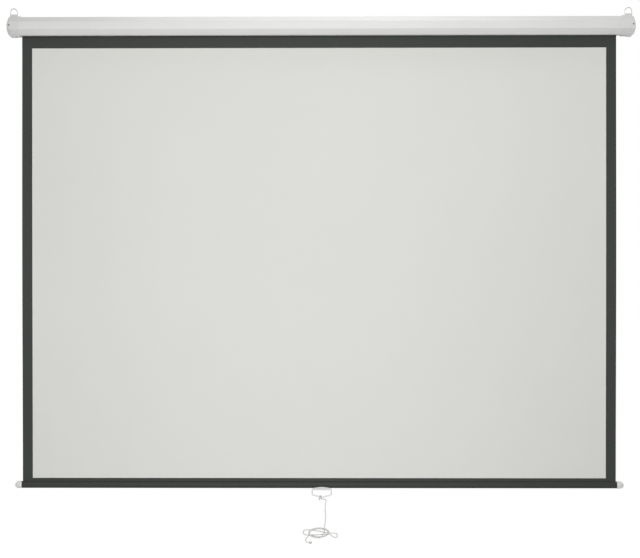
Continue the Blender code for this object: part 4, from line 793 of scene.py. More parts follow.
def make_case():
    path = [(SLOT[0], SLOT_LIP - CASE_HALF), (SLOT[0], -CASE_HALF)]
    path += octagon_corners(CASE_HALF)
    path += [(SLOT[1], -CASE_HALF), (SLOT[1], SLOT_LIP - CASE_HALF)]
    path = filleted(path, [CASE_WALL] + [CASE_ROUND] * 8 + [CASE_WALL], 4)
    outline = [(y, z + CASE_Z) for y, z in strip(path, CASE_WALL)]
    return drawn_piece("case_shell", outline, CASE_LEFT, CASE_RIGHT, powder_coat, 20)


settle(make_case(), "case", "case_paint", "housing")

# %% [markdown]
# ## End caps
# Each cap is moulded: a sleeve over the end of the case, then a dome that narrows to a flat end.
# The sections are rounded octagons, and the same loft goes down the inside first and back up the
# outside, which gives a real wall. An ear on top has the hole for the hanger ring, a low pad
# below mirrors it, and a round recess in front takes the head of a screw.

# %% Cap sizes
GAP = 0.0003
CAP_WALL = 0.0025
CAP_HALF = CASE_HALF + GAP + CAP_WALL
CAP_OVERLAP = 0.0309
CAP_ROUND = 0.0045
CAP_INNER_ROUND = 0.0030
CAP_EDGE = 0.0005
PLATE = 0.0020
DOME_LENGTH = 0.0160
DOME_END_HALF = 0.0170
DOME_CURVE = 2.2
DOME_EDGE = 0.0006
DOME_SECTIONS = 14
EAR_INSET = 0.0225
EAR_RISE = 0.0085
EAR_FOOT_HALF = 0.0120
EAR_TOP_HALF = 0.0085
EAR_DEPTH = 0.0090
EAR_ROUND = 0.0025
EAR_EDGE = 0.0007
EAR_BORE_RISE = 0.0055
EAR_BORE_RADIUS = 0.0021
EAR_BORE_REACH = 0.0160
PAD_HALF = 0.0110
PAD_RISE = 0.0022
PAD_DEPTH = 0.0200
PAD_ROUND = 0.0012
PAD_EDGE = 0.0005
FRONT_SCREW_OFFSET = 0.0045
FRONT_SCREW_RISE = 0.0010
FRONT_SCREW_SEAT = 0.0326
LOWER_SCREW_INSET = 0.0257
LOWER_SCREW_SHIFT = 0.0055
SCREW_HEAD = 0.0029
SCREW_PLAY = 0.0006
TOOL_PAST = 0.0020

# Shares of the dome's length where the hollow has a section, from its end towards the case
HOLLOW_SHARES = (1 - CAP_WALL / DOME_LENGTH, 0.7, 0.55, 0.4, 0.25, 0.1, 0.02)


# %% Cap helpers
def rounded_octagon(x, half, radius):
    """A closed octagonal section at one place along the case, with round corners."""
    corners = octagon_corners(half)
    ring = filleted([corners[-1]] + corners + [corners[0]], [radius] * 8, 5)
    return [(x, p.x, p.y + CASE_Z) for p in ring[1:-1]]


def dome_half(share):
    """Half the dome's width across flats, at a share of its length."""
    return DOME_END_HALF + (CAP_HALF - DOME_END_HALF) * (1 - share**DOME_CURVE)


def combine(piece, tool, operation):
    """Joins, or cuts away, a tool's shape and deletes the tool."""
    step = piece.modifiers.new(tool.name, "BOOLEAN")
    step.operation = operation
    step.solver = "EXACT"
    step.object = tool
    keep_result(piece)
    bpy.data.objects.remove(tool, do_unlink=True)


def drill(piece, start, end, radius):
    """Cuts a round hole into a piece, between two points."""
    start, end = Vector(start), Vector(end)
    run = (end - start).normalized()
    across = run.orthogonal().normalized()
    sections = [circle(centre, across, run.cross(across), radius, 32) for centre in (start, end)]
    combine(piece, loft("drill", sections, piece.data.materials[0]), "DIFFERENCE")


def add_block(cap, middle, foot, tip, radius, steps, depth, edge):
    """Joins a block with two round corners to a cap. Foot and tip are half a width and a Z."""
    corners = [(middle - foot[0], foot[1]), (middle - tip[0], tip[1])]
    corners += [(middle + tip[0], tip[1]), (middle + foot[0], foot[1])]
    outline = filleted(corners, [radius, radius], steps)
    sections = [[(x, y, z) for x, z in outline] for y in (-depth / 2, depth / 2)]
    block = loft("block", sections, cap_abs)
    bevel = block.modifiers.new("edges", "BEVEL")
    bevel.width = edge
    bevel.segments = 3
    bevel.limit_method = "ANGLE"
    bevel.angle_limit = math.radians(35)
    keep_result(block, 50)
    combine(cap, block, "UNION")


# %% Make a cap
def cap_shell(name, outward, case_end, dome_x):
    """The cap's wall: from the dome's end down the inside to the mouth, and back outside."""
    mouth_x = case_end - outward * (CAP_OVERLAP - GAP)
    reach = outward * DOME_LENGTH
    rings = []
    for share in HOLLOW_SHARES:
        rings.append((dome_x + reach * share, dome_half(share) - CAP_WALL, CAP_INNER_ROUND))
    rings.append((mouth_x, CASE_HALF + GAP, CASE_ROUND + GAP))
    rings.append((mouth_x, CAP_HALF - CAP_EDGE, CAP_ROUND))
    rings.append((mouth_x + outward * CAP_EDGE, CAP_HALF, CAP_ROUND))
    for k in range(DOME_SECTIONS + 1):
        share = k / DOME_SECTIONS
        edge = DOME_EDGE if k == DOME_SECTIONS else 0
        rings.append((dome_x + reach * share, dome_half(share) - edge, CAP_ROUND))
    return loft(name, [rounded_octagon(*ring) for ring in rings], cap_abs, 40)


def make_cap(side):
    outward = 1 if side == "right" else -1
    case_end = CASE_RIGHT if side == "right" else CASE_LEFT
    dome_x = case_end + outward * (GAP + PLATE)
    cap = cap_shell("cap_shell_" + side, outward, case_end, dome_x)
    ear_x = dome_x + outward * (DOME_LENGTH - EAR_INSET)
    top = CASE_Z + CAP_HALF
    foot = (EAR_FOOT_HALF, top - CAP_WALL / 2)
    tip = (EAR_TOP_HALF, top + EAR_RISE)
    add_block(cap, ear_x, foot, tip, EAR_ROUND, 8, EAR_DEPTH, EAR_EDGE)
    bottom = CASE_Z - CAP_HALF
    foot = (PAD_HALF, bottom + CAP_WALL / 2)
    tip = (PAD_HALF - PAD_RISE, bottom - PAD_RISE)
    add_block(cap, ear_x, foot, tip, PAD_ROUND, 5, PAD_DEPTH, PAD_EDGE)
    bore_z = top + EAR_BORE_RISE
    bore = [(ear_x + reach, 0, bore_z) for reach in (-EAR_BORE_REACH, EAR_BORE_REACH)]
    drill(cap, *bore, EAR_BORE_RADIUS)
    front_x = dome_x + outward * FRONT_SCREW_OFFSET
    front_z = CASE_Z + FRONT_SCREW_RISE
    recess = [(front_x, -y, front_z) for y in (CAP_HALF + TOOL_PAST, FRONT_SCREW_SEAT)]
    drill(cap, *recess, SCREW_HEAD + SCREW_PLAY)
    return cap, (ear_x, bore_z)


ring_places = {}
for side in ("left", "right"):
    cap, ring_places[side] = make_cap(side)
    settle(cap, "case", "cap_plastic", "end_cap_" + side)

# %% [markdown]
# ## Hanger rings
# A ring is one piece of 3 mm wire: a straight foot through the ear and a round top that rests on
# the hook. It is a curve with a round bevel, because wire is just a path with a thickness.

# %% Rings
RING_WIRE = 0.0030
RING_HALF = 0.0130
RING_TOP_HALF = 0.0112
RING_BEND = 0.0030
RING_STEPS = 32


def make_ring(side):
    x, bore_z = ring_places[side]
    top_centre = RING_WIRE / 2 - RING_TOP_HALF
    foot = [(-RING_TOP_HALF, top_centre), (-RING_HALF, bore_z)]
    foot += [(RING_HALF, bore_z), (RING_TOP_HALF, top_centre)]
    line = filleted([(x + across, z) for across, z in foot], [RING_BEND, RING_BEND], 8)
    arch = arc((x, top_centre), (RING_TOP_HALF, RING_TOP_HALF), 0, math.pi, RING_STEPS)
    line += [Vector(point) for point in arch[1:-1]]
    data = bpy.data.curves.new("wire", "CURVE")
    data.dimensions = "3D"
    data.bevel_depth = RING_WIRE / 2
    data.bevel_resolution = 6
    spline = data.splines.new("POLY")
    spline.points.add(len(line) - 1)
    for place, point in zip(spline.points, line):
        place.co = (point.x, 0, point.y, 1)
    spline.use_cyclic_u = True
    wire = put_in_scene("wire", data)
    mesh = result_of(wire)
    bpy.data.objects.remove(wire, do_unlink=True)
    mesh.shade_smooth()
    mesh.materials.clear()
    mesh.materials.append(zinc_wire)
    return put_in_scene("wire_ring_" + side, mesh)


for side in ("left", "right"):
    settle(make_ring(side), "ring_" + side, "zinc_plate", "hanger_ring_" + side)

# %% [markdown]
# ## Sheet
# The sheet is 2.1 m wide and comes straight down from the back of the roller. Its front is white
# inside a black border, and its back is all black, so no light comes through. It is two grids, a
# front and a back, joined at their edges. Their columns and rows fall on the border's edges, which
# keeps the border crisp. Two slow waves of about a millimetre and side edges that curl forward by
# up to three keep it from being a dead flat plane.

# %% Sheet sizes
VIEW_WIDTH = 2.032
VIEW_HEIGHT = 1.524
SIDE_BORDER = 0.0355
SHEET_MIDDLE = -0.0071
SHEET_Y = 0.0076
SHEET_THICKNESS = 0.00045
ROLLER_Y = -0.0105
ROLLER_Z = -0.0608
WHITE_TOP = -0.1378
WHITE_BOTTOM = WHITE_TOP - VIEW_HEIGHT
SHEET_LEFT = SHEET_MIDDLE - VIEW_WIDTH / 2 - SIDE_BORDER
SHEET_RIGHT = SHEET_MIDDLE + VIEW_WIDTH / 2 + SIDE_BORDER
SHEET_DROP = ROLLER_Z - WHITE_BOTTOM
COLUMN_STEP = 0.015
ROW_STEP = 0.03
EDGE_CURL = 0.0030
CURL_POWER = 20

# Each wave: height, turn from side to side, turn from top to bottom, and start, in radians
WAVES = ((0.0010, 9.0, 0.0, 1.3), (0.0006, 5.0, -4.0, 0.0))


def even_marks(marks, spacing):
    """The marks, with even steps of about the spacing between each two."""
    places = [marks[0]]
    for a, b in zip(marks, marks[1:]):
        count = max(1, round(abs(b - a) / spacing))
        places += [a + (b - a) * k / count for k in range(1, count + 1)]
    return places


def bulge_at(x, z):
    """How far the sheet stands behind its plane. It dies out at the case and at the bar."""
    down = min(1.0, max(0.0, (ROLLER_Z - z) / SHEET_DROP))
    across = (x - SHEET_MIDDLE) / VIEW_WIDTH
    wave = sum(h * math.sin(a * across + b * down + start) for h, a, b, start in WAVES)
    return math.sin(math.pi * down) ** 2 * (wave - EDGE_CURL * (2 * across) ** CURL_POWER)


# %% Make the sheet
def make_sheet():
    white_left = SHEET_LEFT + SIDE_BORDER
    white_right = SHEET_RIGHT - SIDE_BORDER
    columns = even_marks([SHEET_LEFT, white_left, white_right, SHEET_RIGHT], COLUMN_STEP)
    rows = even_marks([ROLLER_Z, WHITE_TOP, WHITE_BOTTOM], ROW_STEP)
    bm = bmesh.new()
    grids = []
    for offset in (-SHEET_THICKNESS / 2, SHEET_THICKNESS / 2):
        grid = []
        for x in columns:
            grid.append([bm.verts.new((x, SHEET_Y + bulge_at(x, z) + offset, z)) for z in rows])
        grids.append(grid)
    front, back = grids
    for i in range(len(columns) - 1):
        in_white = white_left < (columns[i] + columns[i + 1]) / 2 < white_right
        for j in range(len(rows) - 1):
            white = in_white and (rows[j] + rows[j + 1]) / 2 < WHITE_TOP
            cell = ((i, j), (i, j + 1), (i + 1, j + 1), (i + 1, j))
            bm.faces.new([front[m][n] for m, n in cell]).material_index = 0 if white else 1
            bm.faces.new([back[m][n] for m, n in cell[::-1]]).material_index = 1
    rim = bmesh.ops.bridge_loops(bm, edges=[edge for edge in bm.edges if edge.is_boundary])
    for face in rim["faces"]:
        face.material_index = 1
    return add_piece("projection_sheet", bm, [white_cloth, black_cloth])


sheet = make_sheet()
settle(sheet, "case", "black_sheet", "screen_sheet")
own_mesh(sheet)

# %% [markdown]
# The first turns of the sheet stay on the roller, and the last of it folds round a rod inside the
# weight bar. Both are the same black cloth, made as a thin strip along a path and drawn across
# the sheet's width. They ride on the roller and on the bar, while the sheet itself shortens.

# %% First turns and hem
WRAP_TURNS = 1.75
WRAP_STEPS = 112
WRAP_PITCH = 0.0009
WRAP_RADIUS = SHEET_Y - ROLLER_Y
BAR_Z = -1.68535
BAR_HALF = (0.0102, 0.01225)
BAR_TOP = BAR_Z + BAR_HALF[1]
BAR_WALL = 0.0013
BAR_SLOT_HALF = 0.0016
BAR_LIP = 0.0025
BAR_PAST_SHEET = 0.0030
BAR_LEFT = SHEET_LEFT - BAR_PAST_SHEET
BAR_RIGHT = SHEET_RIGHT + BAR_PAST_SHEET
BAR_SLOT_Z = BAR_Z + BAR_HALF[1] * math.sqrt(1 - (BAR_SLOT_HALF / BAR_HALF[0]) ** 2)
HEM_SPREAD = 0.0004
HEM_ROD = 0.0020
HEM_PLAY = 0.0006
HEM_TUCK = 0.0085
HEM_STEPS = 32


def cloth_strip(name, path):
    """Black cloth along a path in Y and Z, across the sheet's whole width."""
    outline = strip(beside(path, SHEET_THICKNESS / 2), -SHEET_THICKNESS)
    return drawn_piece(name, outline, SHEET_LEFT, SHEET_RIGHT, black_cloth, 40)


def wrap_path():
    path = []
    for k in range(WRAP_STEPS + 1):
        turn = 2 * math.pi * WRAP_TURNS * k / WRAP_STEPS
        radius = WRAP_RADIUS - WRAP_PITCH * turn / (2 * math.pi)
        path.append((ROLLER_Y + radius * math.cos(turn), ROLLER_Z + radius * math.sin(turn)))
    return path


def hem_path():
    loop = HEM_ROD + GAP + SHEET_THICKNESS / 2
    rod_z = BAR_SLOT_Z - BAR_LIP - HEM_PLAY - loop - SHEET_THICKNESS / 2
    start = math.pi / 2 + math.asin(HEM_SPREAD / loop)
    round_rod = arc((BAR_Y, rod_z), (loop, loop), start, 3 * math.pi - start, HEM_STEPS)
    ends = (BAR_Y - HEM_SPREAD, WHITE_BOTTOM), (BAR_Y + HEM_SPREAD, BAR_TOP + HEM_TUCK)
    return [ends[0], *round_rod, ends[1]]


first_turns = cloth_strip("sheet_first_turns", wrap_path())
settle(first_turns, "roller", "black_sheet", "leader_wrap")
hem = cloth_strip("sheet_hem", hem_path())
settle(hem, "bar", "black_sheet", "bottom_hem")

# %% [markdown]
# ## Weight bar
# The bar is an oval steel tube with a slot on top, enamelled black. Its weight pulls the sheet
# flat. It is drawn by the same node tree as the case. Its caps are white mouldings, egg-shaped
# and a little larger than the bar, and each droops slightly towards its end.

# %% Bar and its caps
BAR_STEPS = 80
BAR_CAP_LENGTH = 0.0240
BAR_CAP_PROUD = 0.0009
BAR_CAP_END_HALF = 0.0042
BAR_CAP_NOSE = 0.09
BAR_CAP_DROOP = 0.0015
BAR_CAP_EDGE = 0.0004
BAR_CAP_SECTIONS = 24
SPIGOT_HALF = 0.0048
SPIGOT_LOW = 0.0082
SPIGOT_HIGH = 0.0022
SPIGOT_REACH = 0.0143
SPIGOT_ROOT = 0.0030


def make_bar():
    start = math.pi / 2 + math.asin(BAR_SLOT_HALF / BAR_HALF[0])
    lip_z = BAR_SLOT_Z - BAR_LIP - BAR_Z
    wall = arc((0, 0), BAR_HALF, start, 3 * math.pi - start, BAR_STEPS)
    path = [(-BAR_SLOT_HALF, lip_z), *wall, (BAR_SLOT_HALF, lip_z)]
    outline = [(y + BAR_Y, z + BAR_Z) for y, z in strip(path, -BAR_WALL)]
    return drawn_piece("bar_tube", outline, BAR_LEFT, BAR_RIGHT, bar_enamel, 30)


def make_bar_cap(side):
    outward = 1 if side == "right" else -1
    base = (BAR_RIGHT if side == "right" else BAR_LEFT) + outward * GAP
    half_depth = BAR_HALF[0] + BAR_CAP_PROUD
    half_height = BAR_HALF[1] + BAR_CAP_PROUD
    taper = 1 - (BAR_CAP_END_HALF / half_height) ** 2
    sections = []
    for k in range(BAR_CAP_SECTIONS + 1):
        share = math.sin(math.pi / 2 * k / BAR_CAP_SECTIONS)
        size = math.sqrt(1 - (taper + BAR_CAP_NOSE * share**8) * share**3)
        edge = BAR_CAP_EDGE if k == 0 else 0.0
        place = base + outward * share * BAR_CAP_LENGTH
        centre = Vector((place, BAR_Y, BAR_Z - BAR_CAP_DROOP * share**2))
        out_y = Vector((0, (half_depth - edge) * size, 0))
        out_z = Vector((0, 0, (half_height - edge) * size))
        sections.append(circle(centre, out_y, out_z, 1.0, 64))
    cap = loft("bar_end_" + side, sections, gloss_abs, 40)
    low, high = BAR_Z - SPIGOT_LOW, BAR_Z + SPIGOT_HIGH
    front, back = BAR_Y - SPIGOT_HALF, BAR_Y + SPIGOT_HALF
    spigot = [(front, low), (back, low), (back, high), (front, high)]
    ends = sorted((base - outward * SPIGOT_REACH, base + outward * SPIGOT_ROOT))
    tenon = loft("spigot", [[(x, y, z) for y, z in spigot] for x in ends], gloss_abs)
    combine(cap, tenon, "UNION")
    return cap


settle(make_bar(), "bar", "bar_paint", "weight_bar")
for side in ("left", "right"):
    settle(make_bar_cap(side), "bar", "white_plastic", "bar_cap_" + side)

# %% [markdown]
# ## Saddle and handle
# The saddle is a moulding that hugs the bar's underside and holds the handle's two pins. Its
# upper edge is an arch: the wrap round the bar is deepest in the middle. The handle is a round
# bail with a shallow point, where the cord is tied.

# %% Saddle
SADDLE_HALF = 0.0275
SADDLE_PAD = 0.0065
SADDLE_PAD_HALF = 0.0038
SADDLE_PAD_Z = BAR_Z - BAR_HALF[1] - GAP - SADDLE_PAD
SADDLE_EDGE = 0.0018
SADDLE_KNEE = 0.75
SADDLE_STATIONS = 32
SADDLE_STEPS = 28
HANDLE_PIN = 0.0034
HANDLE_PIN_LENGTH = 0.0050
SADDLE_SCREW_SPREAD = 0.0090
SADDLE_SCREW_HEAD = 0.0024
SADDLE_SCREW_SINK = 0.0020
SADDLE_SCREW_HOLE = 0.0015

# How far round the bar the saddle reaches, at its ends and in its middle
SADDLE_WRAP = (math.radians(34), math.radians(58))

# Radii of the section's corners, from the saddle's upper edge to its pad
SADDLE_ROUNDS = (0.0004, 0.0018, 0.0015, 0.0009)


def saddle_section(share):
    """The saddle's section at a share of its half length, from the middle to either end."""
    inner_y = BAR_HALF[0] + GAP
    inner_z = BAR_HALF[1] + GAP
    edge_y = inner_y + SADDLE_EDGE
    edge_z = inner_z + SADDLE_EDGE
    wrap = SADDLE_WRAP[0] + (SADDLE_WRAP[1] - SADDLE_WRAP[0]) * (1 - share**2)
    low = -math.pi / 2
    line = arc((0, 0), (inner_y, inner_z), low - wrap, low + wrap, SADDLE_STEPS)
    corners = [
        line[-1],
        (edge_y * math.sin(wrap), -edge_z * math.cos(wrap)),
        (edge_y * math.sin(SADDLE_KNEE * wrap), -edge_z * math.cos(SADDLE_KNEE * wrap)),
        (SADDLE_PAD_HALF + SADDLE_EDGE / 2, -inner_z - SADDLE_PAD / 2),
        (SADDLE_PAD_HALF, -inner_z - SADDLE_PAD),
        (0, -inner_z - SADDLE_PAD),
    ]
    side = [(p.x, p.y) for p in filleted(corners, SADDLE_ROUNDS, 3)][1:-1]
    line += side + [(-y, z) for y, z in side[::-1]]
    return [(HANDLE_X + share * SADDLE_HALF, BAR_Y + y, BAR_Z + z) for y, z in line]


def make_saddle():
    shares = [-1 + 2 * s / SADDLE_STATIONS for s in range(SADDLE_STATIONS + 1)]
    sections = [saddle_section(share) for share in shares]
    saddle = loft("handle_saddle_shell", sections, gloss_abs, 40)
    for sign in (-1, 1):
        face = HANDLE_X + sign * SADDLE_HALF
        pin_end = face - sign * (HANDLE_PIN_LENGTH + GAP)
        bore = [(x, BAR_Y, PIN_Z) for x in (face + sign * TOOL_PAST, pin_end)]
        drill(saddle, *bore, HANDLE_PIN / 2 + GAP)
        x = HANDLE_X + sign * SADDLE_SCREW_SPREAD
        below = (x, BAR_Y, SADDLE_PAD_Z - TOOL_PAST)
        seat = (x, BAR_Y, SADDLE_PAD_Z + SADDLE_SCREW_SINK)
        above = (x, BAR_Y, SADDLE_PAD_Z + SADDLE_PAD + TOOL_PAST)
        drill(saddle, below, seat, SADDLE_SCREW_HEAD + GAP)
        drill(saddle, below, above, SADDLE_SCREW_HOLE)
    return saddle


settle(make_saddle(), "bar", "white_plastic", "handle_saddle")

# %% Handle
HANDLE_SHOULDER = 0.0331
HANDLE_BENDS = (0.0040, 0.0060, HANDLE_POINT, 0.0060, 0.0040)
HANDLE_EDGE = 0.0003
HANDLE_EDGE_STEP = 0.0001


def make_handle():
    """A rod with bends. At each end it has a small rounded edge and then steps down to its pin."""
    right = [(SADDLE_HALF + GAP, 0), (HANDLE_SHOULDER, 0)]
    right += [(HANDLE_HALF, -HANDLE_CORNER_DROP), (0, -HANDLE_DROP)]
    left = [(-x, z) for x, z in right[:-1]]
    bends = [Vector((p.x, 0, p.y)) for p in filleted(left + right[::-1], HANDLE_BENDS, 12)]
    ways = [HANDLE_PIN_LENGTH] + [-HANDLE_EDGE_STEP * count for count in (1, 2, 7)]
    first = [bends[0] + Vector((way, 0, 0)) for way in ways]
    last = [bends[-1] - Vector((way, 0, 0)) for way in ways[::-1]]
    line = first + bends[1:-1] + last
    rod = HANDLE_ROD / 2
    step_down = [HANDLE_PIN / 2, HANDLE_PIN / 2, rod - HANDLE_EDGE]
    radii = step_down + [rod] * (len(line) - 6) + step_down[::-1]
    pivot = Vector((HANDLE_X, BAR_Y, PIN_Z))
    sections = []
    for (point, across, other), radius in zip(carried_along(line, Vector((0, 0, 1))), radii):
        sections.append(circle(pivot + point, across, other, radius, 28))
    return loft("bail_handle", sections, gloss_abs, 40)


settle(make_handle(), "handle", "white_plastic", "pull_handle")

# %% [markdown]
# ## Screws
# Four screws hold the caps and two hold the saddle. They are one shape, repeated: a pan head with
# a cross recess on a shank. One screw is made once, and a node tree puts a copy on each seat and
# turns it along the seat's own direction, which each seat carries as an attribute.

# %% One screw
SCREW_RISE = 0.0014
CAP_SCREW_SHANK = (0.0014, 0.0095)
SADDLE_SCREW_SHANK = (0.0012, 0.0084)
HEAD_FLAT = 0.55
SCREW_POINT = 0.2
CROSS_ARM = 0.62
CROSS_HALF = 0.13

# The cross from above the head to its floor: shares of the head's height and of the cross's size
CROSS_DEPTHS = ((1.1, 1.0), (0.25, 0.6))


def make_screw_shape(head, shank, length):
    """A pan-head screw along +X with its head at -X, and a cross cut into the head."""
    flat = head * HEAD_FLAT
    dome = arc((0, flat), (-SCREW_RISE, head - flat), 0, math.pi / 2, 8)
    profile = [(-SCREW_RISE, 0), *dome, (0, shank), (length - shank, shank)]
    profile += [(length, shank * SCREW_POINT), (length, 0)]
    bm = bmesh.new()
    verts = [bm.verts.new((x, r, 0)) for x, r in profile]
    edges = [bm.edges.new(pair) for pair in zip(verts, verts[1:])]
    turn = {"cent": (0, 0, 0), "axis": (1, 0, 0), "angle": 2 * math.pi, "steps": 24}
    bmesh.ops.spin(bm, geom=verts + edges, use_merge=True, **turn)
    bmesh.ops.remove_doubles(bm, verts=bm.verts, dist=1e-6)
    screw = add_piece("screw_shape", bm, [zinc_plate])
    arm, half = head * CROSS_ARM, head * CROSS_HALF
    for wide, tall in ((arm, half), (half, arm)):
        slot = [(-wide, -tall), (wide, -tall), (wide, tall), (-wide, tall)]
        sections = []
        for rise, size in CROSS_DEPTHS:
            sections.append([(-SCREW_RISE * rise, y * size, z * size) for y, z in slot])
        combine(screw, loft("slot", sections, zinc_plate), "DIFFERENCE")
    screw.hide_render = True
    screw.hide_viewport = True
    return screw


# %% Node tree that seats the screws
def seated_screws_tree():
    inputs = {"Seats": "Geometry", "Screw": "Object", "Finish": "Material"}
    tree, enter = start_tree("seated screws", inputs, "Screws")
    seats = add_node(tree, "GeometryNodeMeshToPoints", {"Mesh": enter["Seats"]})
    named = {"Name": "aim"}
    aim = add_node(tree, "GeometryNodeInputNamedAttribute", named, data_type="FLOAT_VECTOR")
    along = {"Vector": aim.outputs["Attribute"]}
    turned = add_node(tree, "FunctionNodeAlignRotationToVector", along, axis="X")
    shape = add_node(tree, "GeometryNodeObjectInfo", {"Object": enter["Screw"]})
    copy = {
        "Points": seats.outputs["Points"],
        "Instance": shape.outputs["Geometry"],
        "Rotation": turned.outputs["Rotation"],
    }
    copies = add_node(tree, "GeometryNodeInstanceOnPoints", copy)
    end_tree(tree, copies.outputs["Instances"], enter["Finish"], "Screws")
    return tree


screws_tree = seated_screws_tree()
print("node tree:", screws_tree.name, "with", len(screws_tree.nodes), "nodes")


# %% Seat the screws
def seat_screws(name, shape, seats, finish):
    """One mesh with a screw at each seat, given as (place, direction) pairs."""
    mesh = bpy.data.meshes.new(name)
    mesh.from_pydata([place for place, aim in seats], [], [])
    aims = mesh.attributes.new("aim", "FLOAT_VECTOR", "POINT")
    for value, (place, aim) in zip(aims.data, seats):
        value.vector = aim
    made = put_in_scene(name, mesh)
    run_tree(made, screws_tree, Screw=shape, Finish=finish)
    return made


SLANT = math.sqrt(0.5)
front_seats = []
lower_seats = []
saddle_seats = []
for outward in (-1, 1):
    dome_x = outward * (CASE_RIGHT + GAP + PLATE)
    front_x = dome_x + outward * FRONT_SCREW_OFFSET
    front = (front_x, -FRONT_SCREW_SEAT - GAP, CASE_Z + FRONT_SCREW_RISE)
    front_seats.append((front, (0, 1, 0)))
    out = (CAP_HALF + GAP) * SLANT
    shift = LOWER_SCREW_SHIFT * SLANT
    lower_x = dome_x + outward * (DOME_LENGTH - LOWER_SCREW_INSET)
    lower_seats.append(((lower_x, shift - out, CASE_Z - out - shift), (0, SLANT, SLANT)))
    saddle_x = HANDLE_X + outward * SADDLE_SCREW_SPREAD
    saddle_z = SADDLE_PAD_Z + SADDLE_SCREW_SINK - GAP
    saddle_seats.append(((saddle_x, BAR_Y, saddle_z), (0, 0, 1)))

cap_screw = make_screw_shape(SCREW_HEAD, *CAP_SCREW_SHANK)
saddle_screw = make_screw_shape(SADDLE_SCREW_HEAD, *SADDLE_SCREW_SHANK)
for name, shape, seats, finish, body, node in (
    # The front screws take the darker zinc, which is painted shade of their recesses
    ("cap_screws_front", cap_screw, front_seats, recess_shaded_zinc, "case", "cap_front_screw_"),
    ("cap_screws_lower", cap_screw, lower_seats, zinc_plate, "case", "cap_lower_screw_"),
    ("saddle_screws", saddle_screw, saddle_seats, zinc_plate, "bar", "saddle_screw_"),
):
    screws = seat_screws(name, shape, seats, finish)
    settle(screws, body, "zinc_plate", node + "left", node + "right")
for shape in (cap_screw, saddle_screw):
    bpy.data.objects.remove(shape, do_unlink=True)

# %% [markdown]
# ## Working parts
# The roller, its plugs, the spring, the ratchet and the brackets are already the right shape in
# the measured model, so they stay and only get their finish.

# %% Finishes of the working parts
PLATED = ("support_bracket_left", "support_bracket_right", "spear_shaft", "spring_ferrule")
PLATED += ("pawl_pin_upper", "pawl_pin_lower")
STEEL = ("ratchet_hub", "roller_tube", "pawl_upper", "pawl_lower", "torsion_spring", "idle_pin")
NYLON = ("ratchet_plug", "spring_anchor_plug", "idle_end_plug", "hem_rod")
WORKING_PARTS = (
    (zinc_plate, PLATED),
    (drawn_steel, STEEL),
    (dark_nylon, NYLON),
    (plain_nylon, ("idle_bush",)),
    (beech, ("spring_rod",)),
)
for finish, nodes in WORKING_PARTS:
    for node in nodes:
        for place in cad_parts[node].material_slots:
            place.material = finish
print("working parts with a finish:", sum(len(nodes) for finish, nodes in WORKING_PARTS))

# %% [markdown]
# ## Room and light
# The photograph has a pure white ground and soft even light: brightest on the middle of the
# sheet, and a little darker towards both sides. Five lamps give that: a tall soft one before the
# screen, one above the case in front and one above it behind, and a weak one at each end for the
# caps. A pale sky fills in. The floor and the sky show white to the camera, to gloss and through
# clear pieces, and the floor still takes the shadow.

# %% Floor
FLOOR_Z = -2.6
FLOOR_HALF = 30.0
FLOOR_GLOW = 0.8
WHITE = (1, 1, 1, 1)


def seen_straight(tree):
    """One where the camera, a gloss or a clear piece looks, and nought where light is gathered."""
    rays = add_node(tree, "ShaderNodeLightPath").outputs
    seen = rays["Is Camera Ray"]
    for kind in ("Is Glossy Ray", "Is Transmission Ray"):
        more = add_node(tree, "ShaderNodeMath", {0: seen, 1: rays[kind]}, operation="MAXIMUM")
        seen = more.outputs["Value"]
    return seen


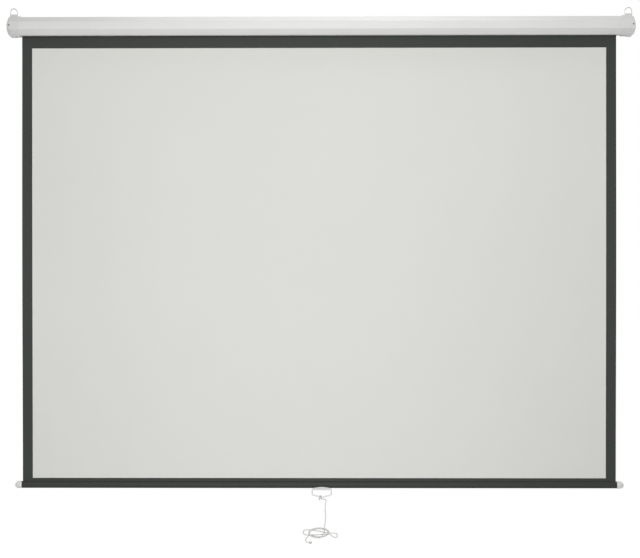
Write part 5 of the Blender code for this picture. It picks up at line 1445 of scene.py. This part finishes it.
def make_floor():
    """A wide floor with some white of its own, and the light's shadow on top."""
    paint = {"Roughness": 0.9, "Base_Color": linear("D4D4D4")}
    made, tree, shader = start_finish("pale floor", **paint)
    plain = shader.outputs["BSDF"]
    glow = add_node(tree, "ShaderNodeEmission", {"Color": WHITE, "Strength": FLOOR_GLOW})
    both = add_node(tree, "ShaderNodeAddShader", {0: plain, 1: glow.outputs["Emission"]})
    choice = {0: seen_straight(tree), 1: plain, 2: both.outputs["Shader"]}
    pick = add_node(tree, "ShaderNodeMixShader", choice)
    tree.links.new(pick.outputs["Shader"], tree.nodes["Material Output"].inputs["Surface"])
    bm = bmesh.new()
    corners = [(x * FLOOR_HALF, y * FLOOR_HALF) for x, y in ((-1, -1), (1, -1), (1, 1), (-1, 1))]
    bm.faces.new([bm.verts.new((x, y, FLOOR_Z)) for x, y in corners])
    floor = put_in_scene("floor", mesh_of("floor", bm, made))


make_floor()


# %% Lamps and sky
SKY_LIGHT = 0.22

# Each lamp: its place, what it aims at, its width and height, and its power in watts
LAMPS = {
    "front lamp": ((-0.2, -3.1, -0.7), (-0.05, 0, -0.85), (0.9, 3.6), 76),
    "case lamp": ((0.5, -0.35, 1.2), (0.25, 0, -0.1), (0.7, 0.4), 6),
    "upper lamp": ((-0.2, 0.2, 0.9), (-0.2, 0, -0.1), (1.3, 0.3), 3.6),
    "left lamp": ((-2.5, -0.1, 0.3), (-1, 0, -0.05), (0.5, 0.8), 4.8),
    "right lamp": ((2.5, -0.3, 0.1), (1, 0, -0.05), (0.5, 0.8), 9),
}


def area_lamp(name, place, aim, size, power):
    data = bpy.data.lights.new(name, "AREA")
    data.shape = "RECTANGLE"
    data.size, data.size_y = size
    data.energy = power
    lamp = put_in_scene(name, data)
    lamp.location = place
    run = Vector(aim) - Vector(place)
    lamp.rotation_euler = run.to_track_quat("-Z", "Y").to_euler()


def make_sky(level):
    world = bpy.data.worlds.new("pale sky")
    bpy.context.scene.world = world
    world.use_nodes = True
    tree = world.node_tree
    span = {"Value": seen_straight(tree), "To Min": level, "To Max": 1.0}
    strength = add_node(tree, "ShaderNodeMapRange", span)
    ground = tree.nodes["Background"]
    ground.inputs["Color"].default_value = WHITE
    tree.links.new(strength.outputs["Result"], ground.inputs["Strength"])


for name, lamp in LAMPS.items():
    area_lamp(name, *lamp)
make_sky(SKY_LIGHT)
bpy.context.scene.view_settings.view_transform = "Standard"
print("lamps:", len(LAMPS))
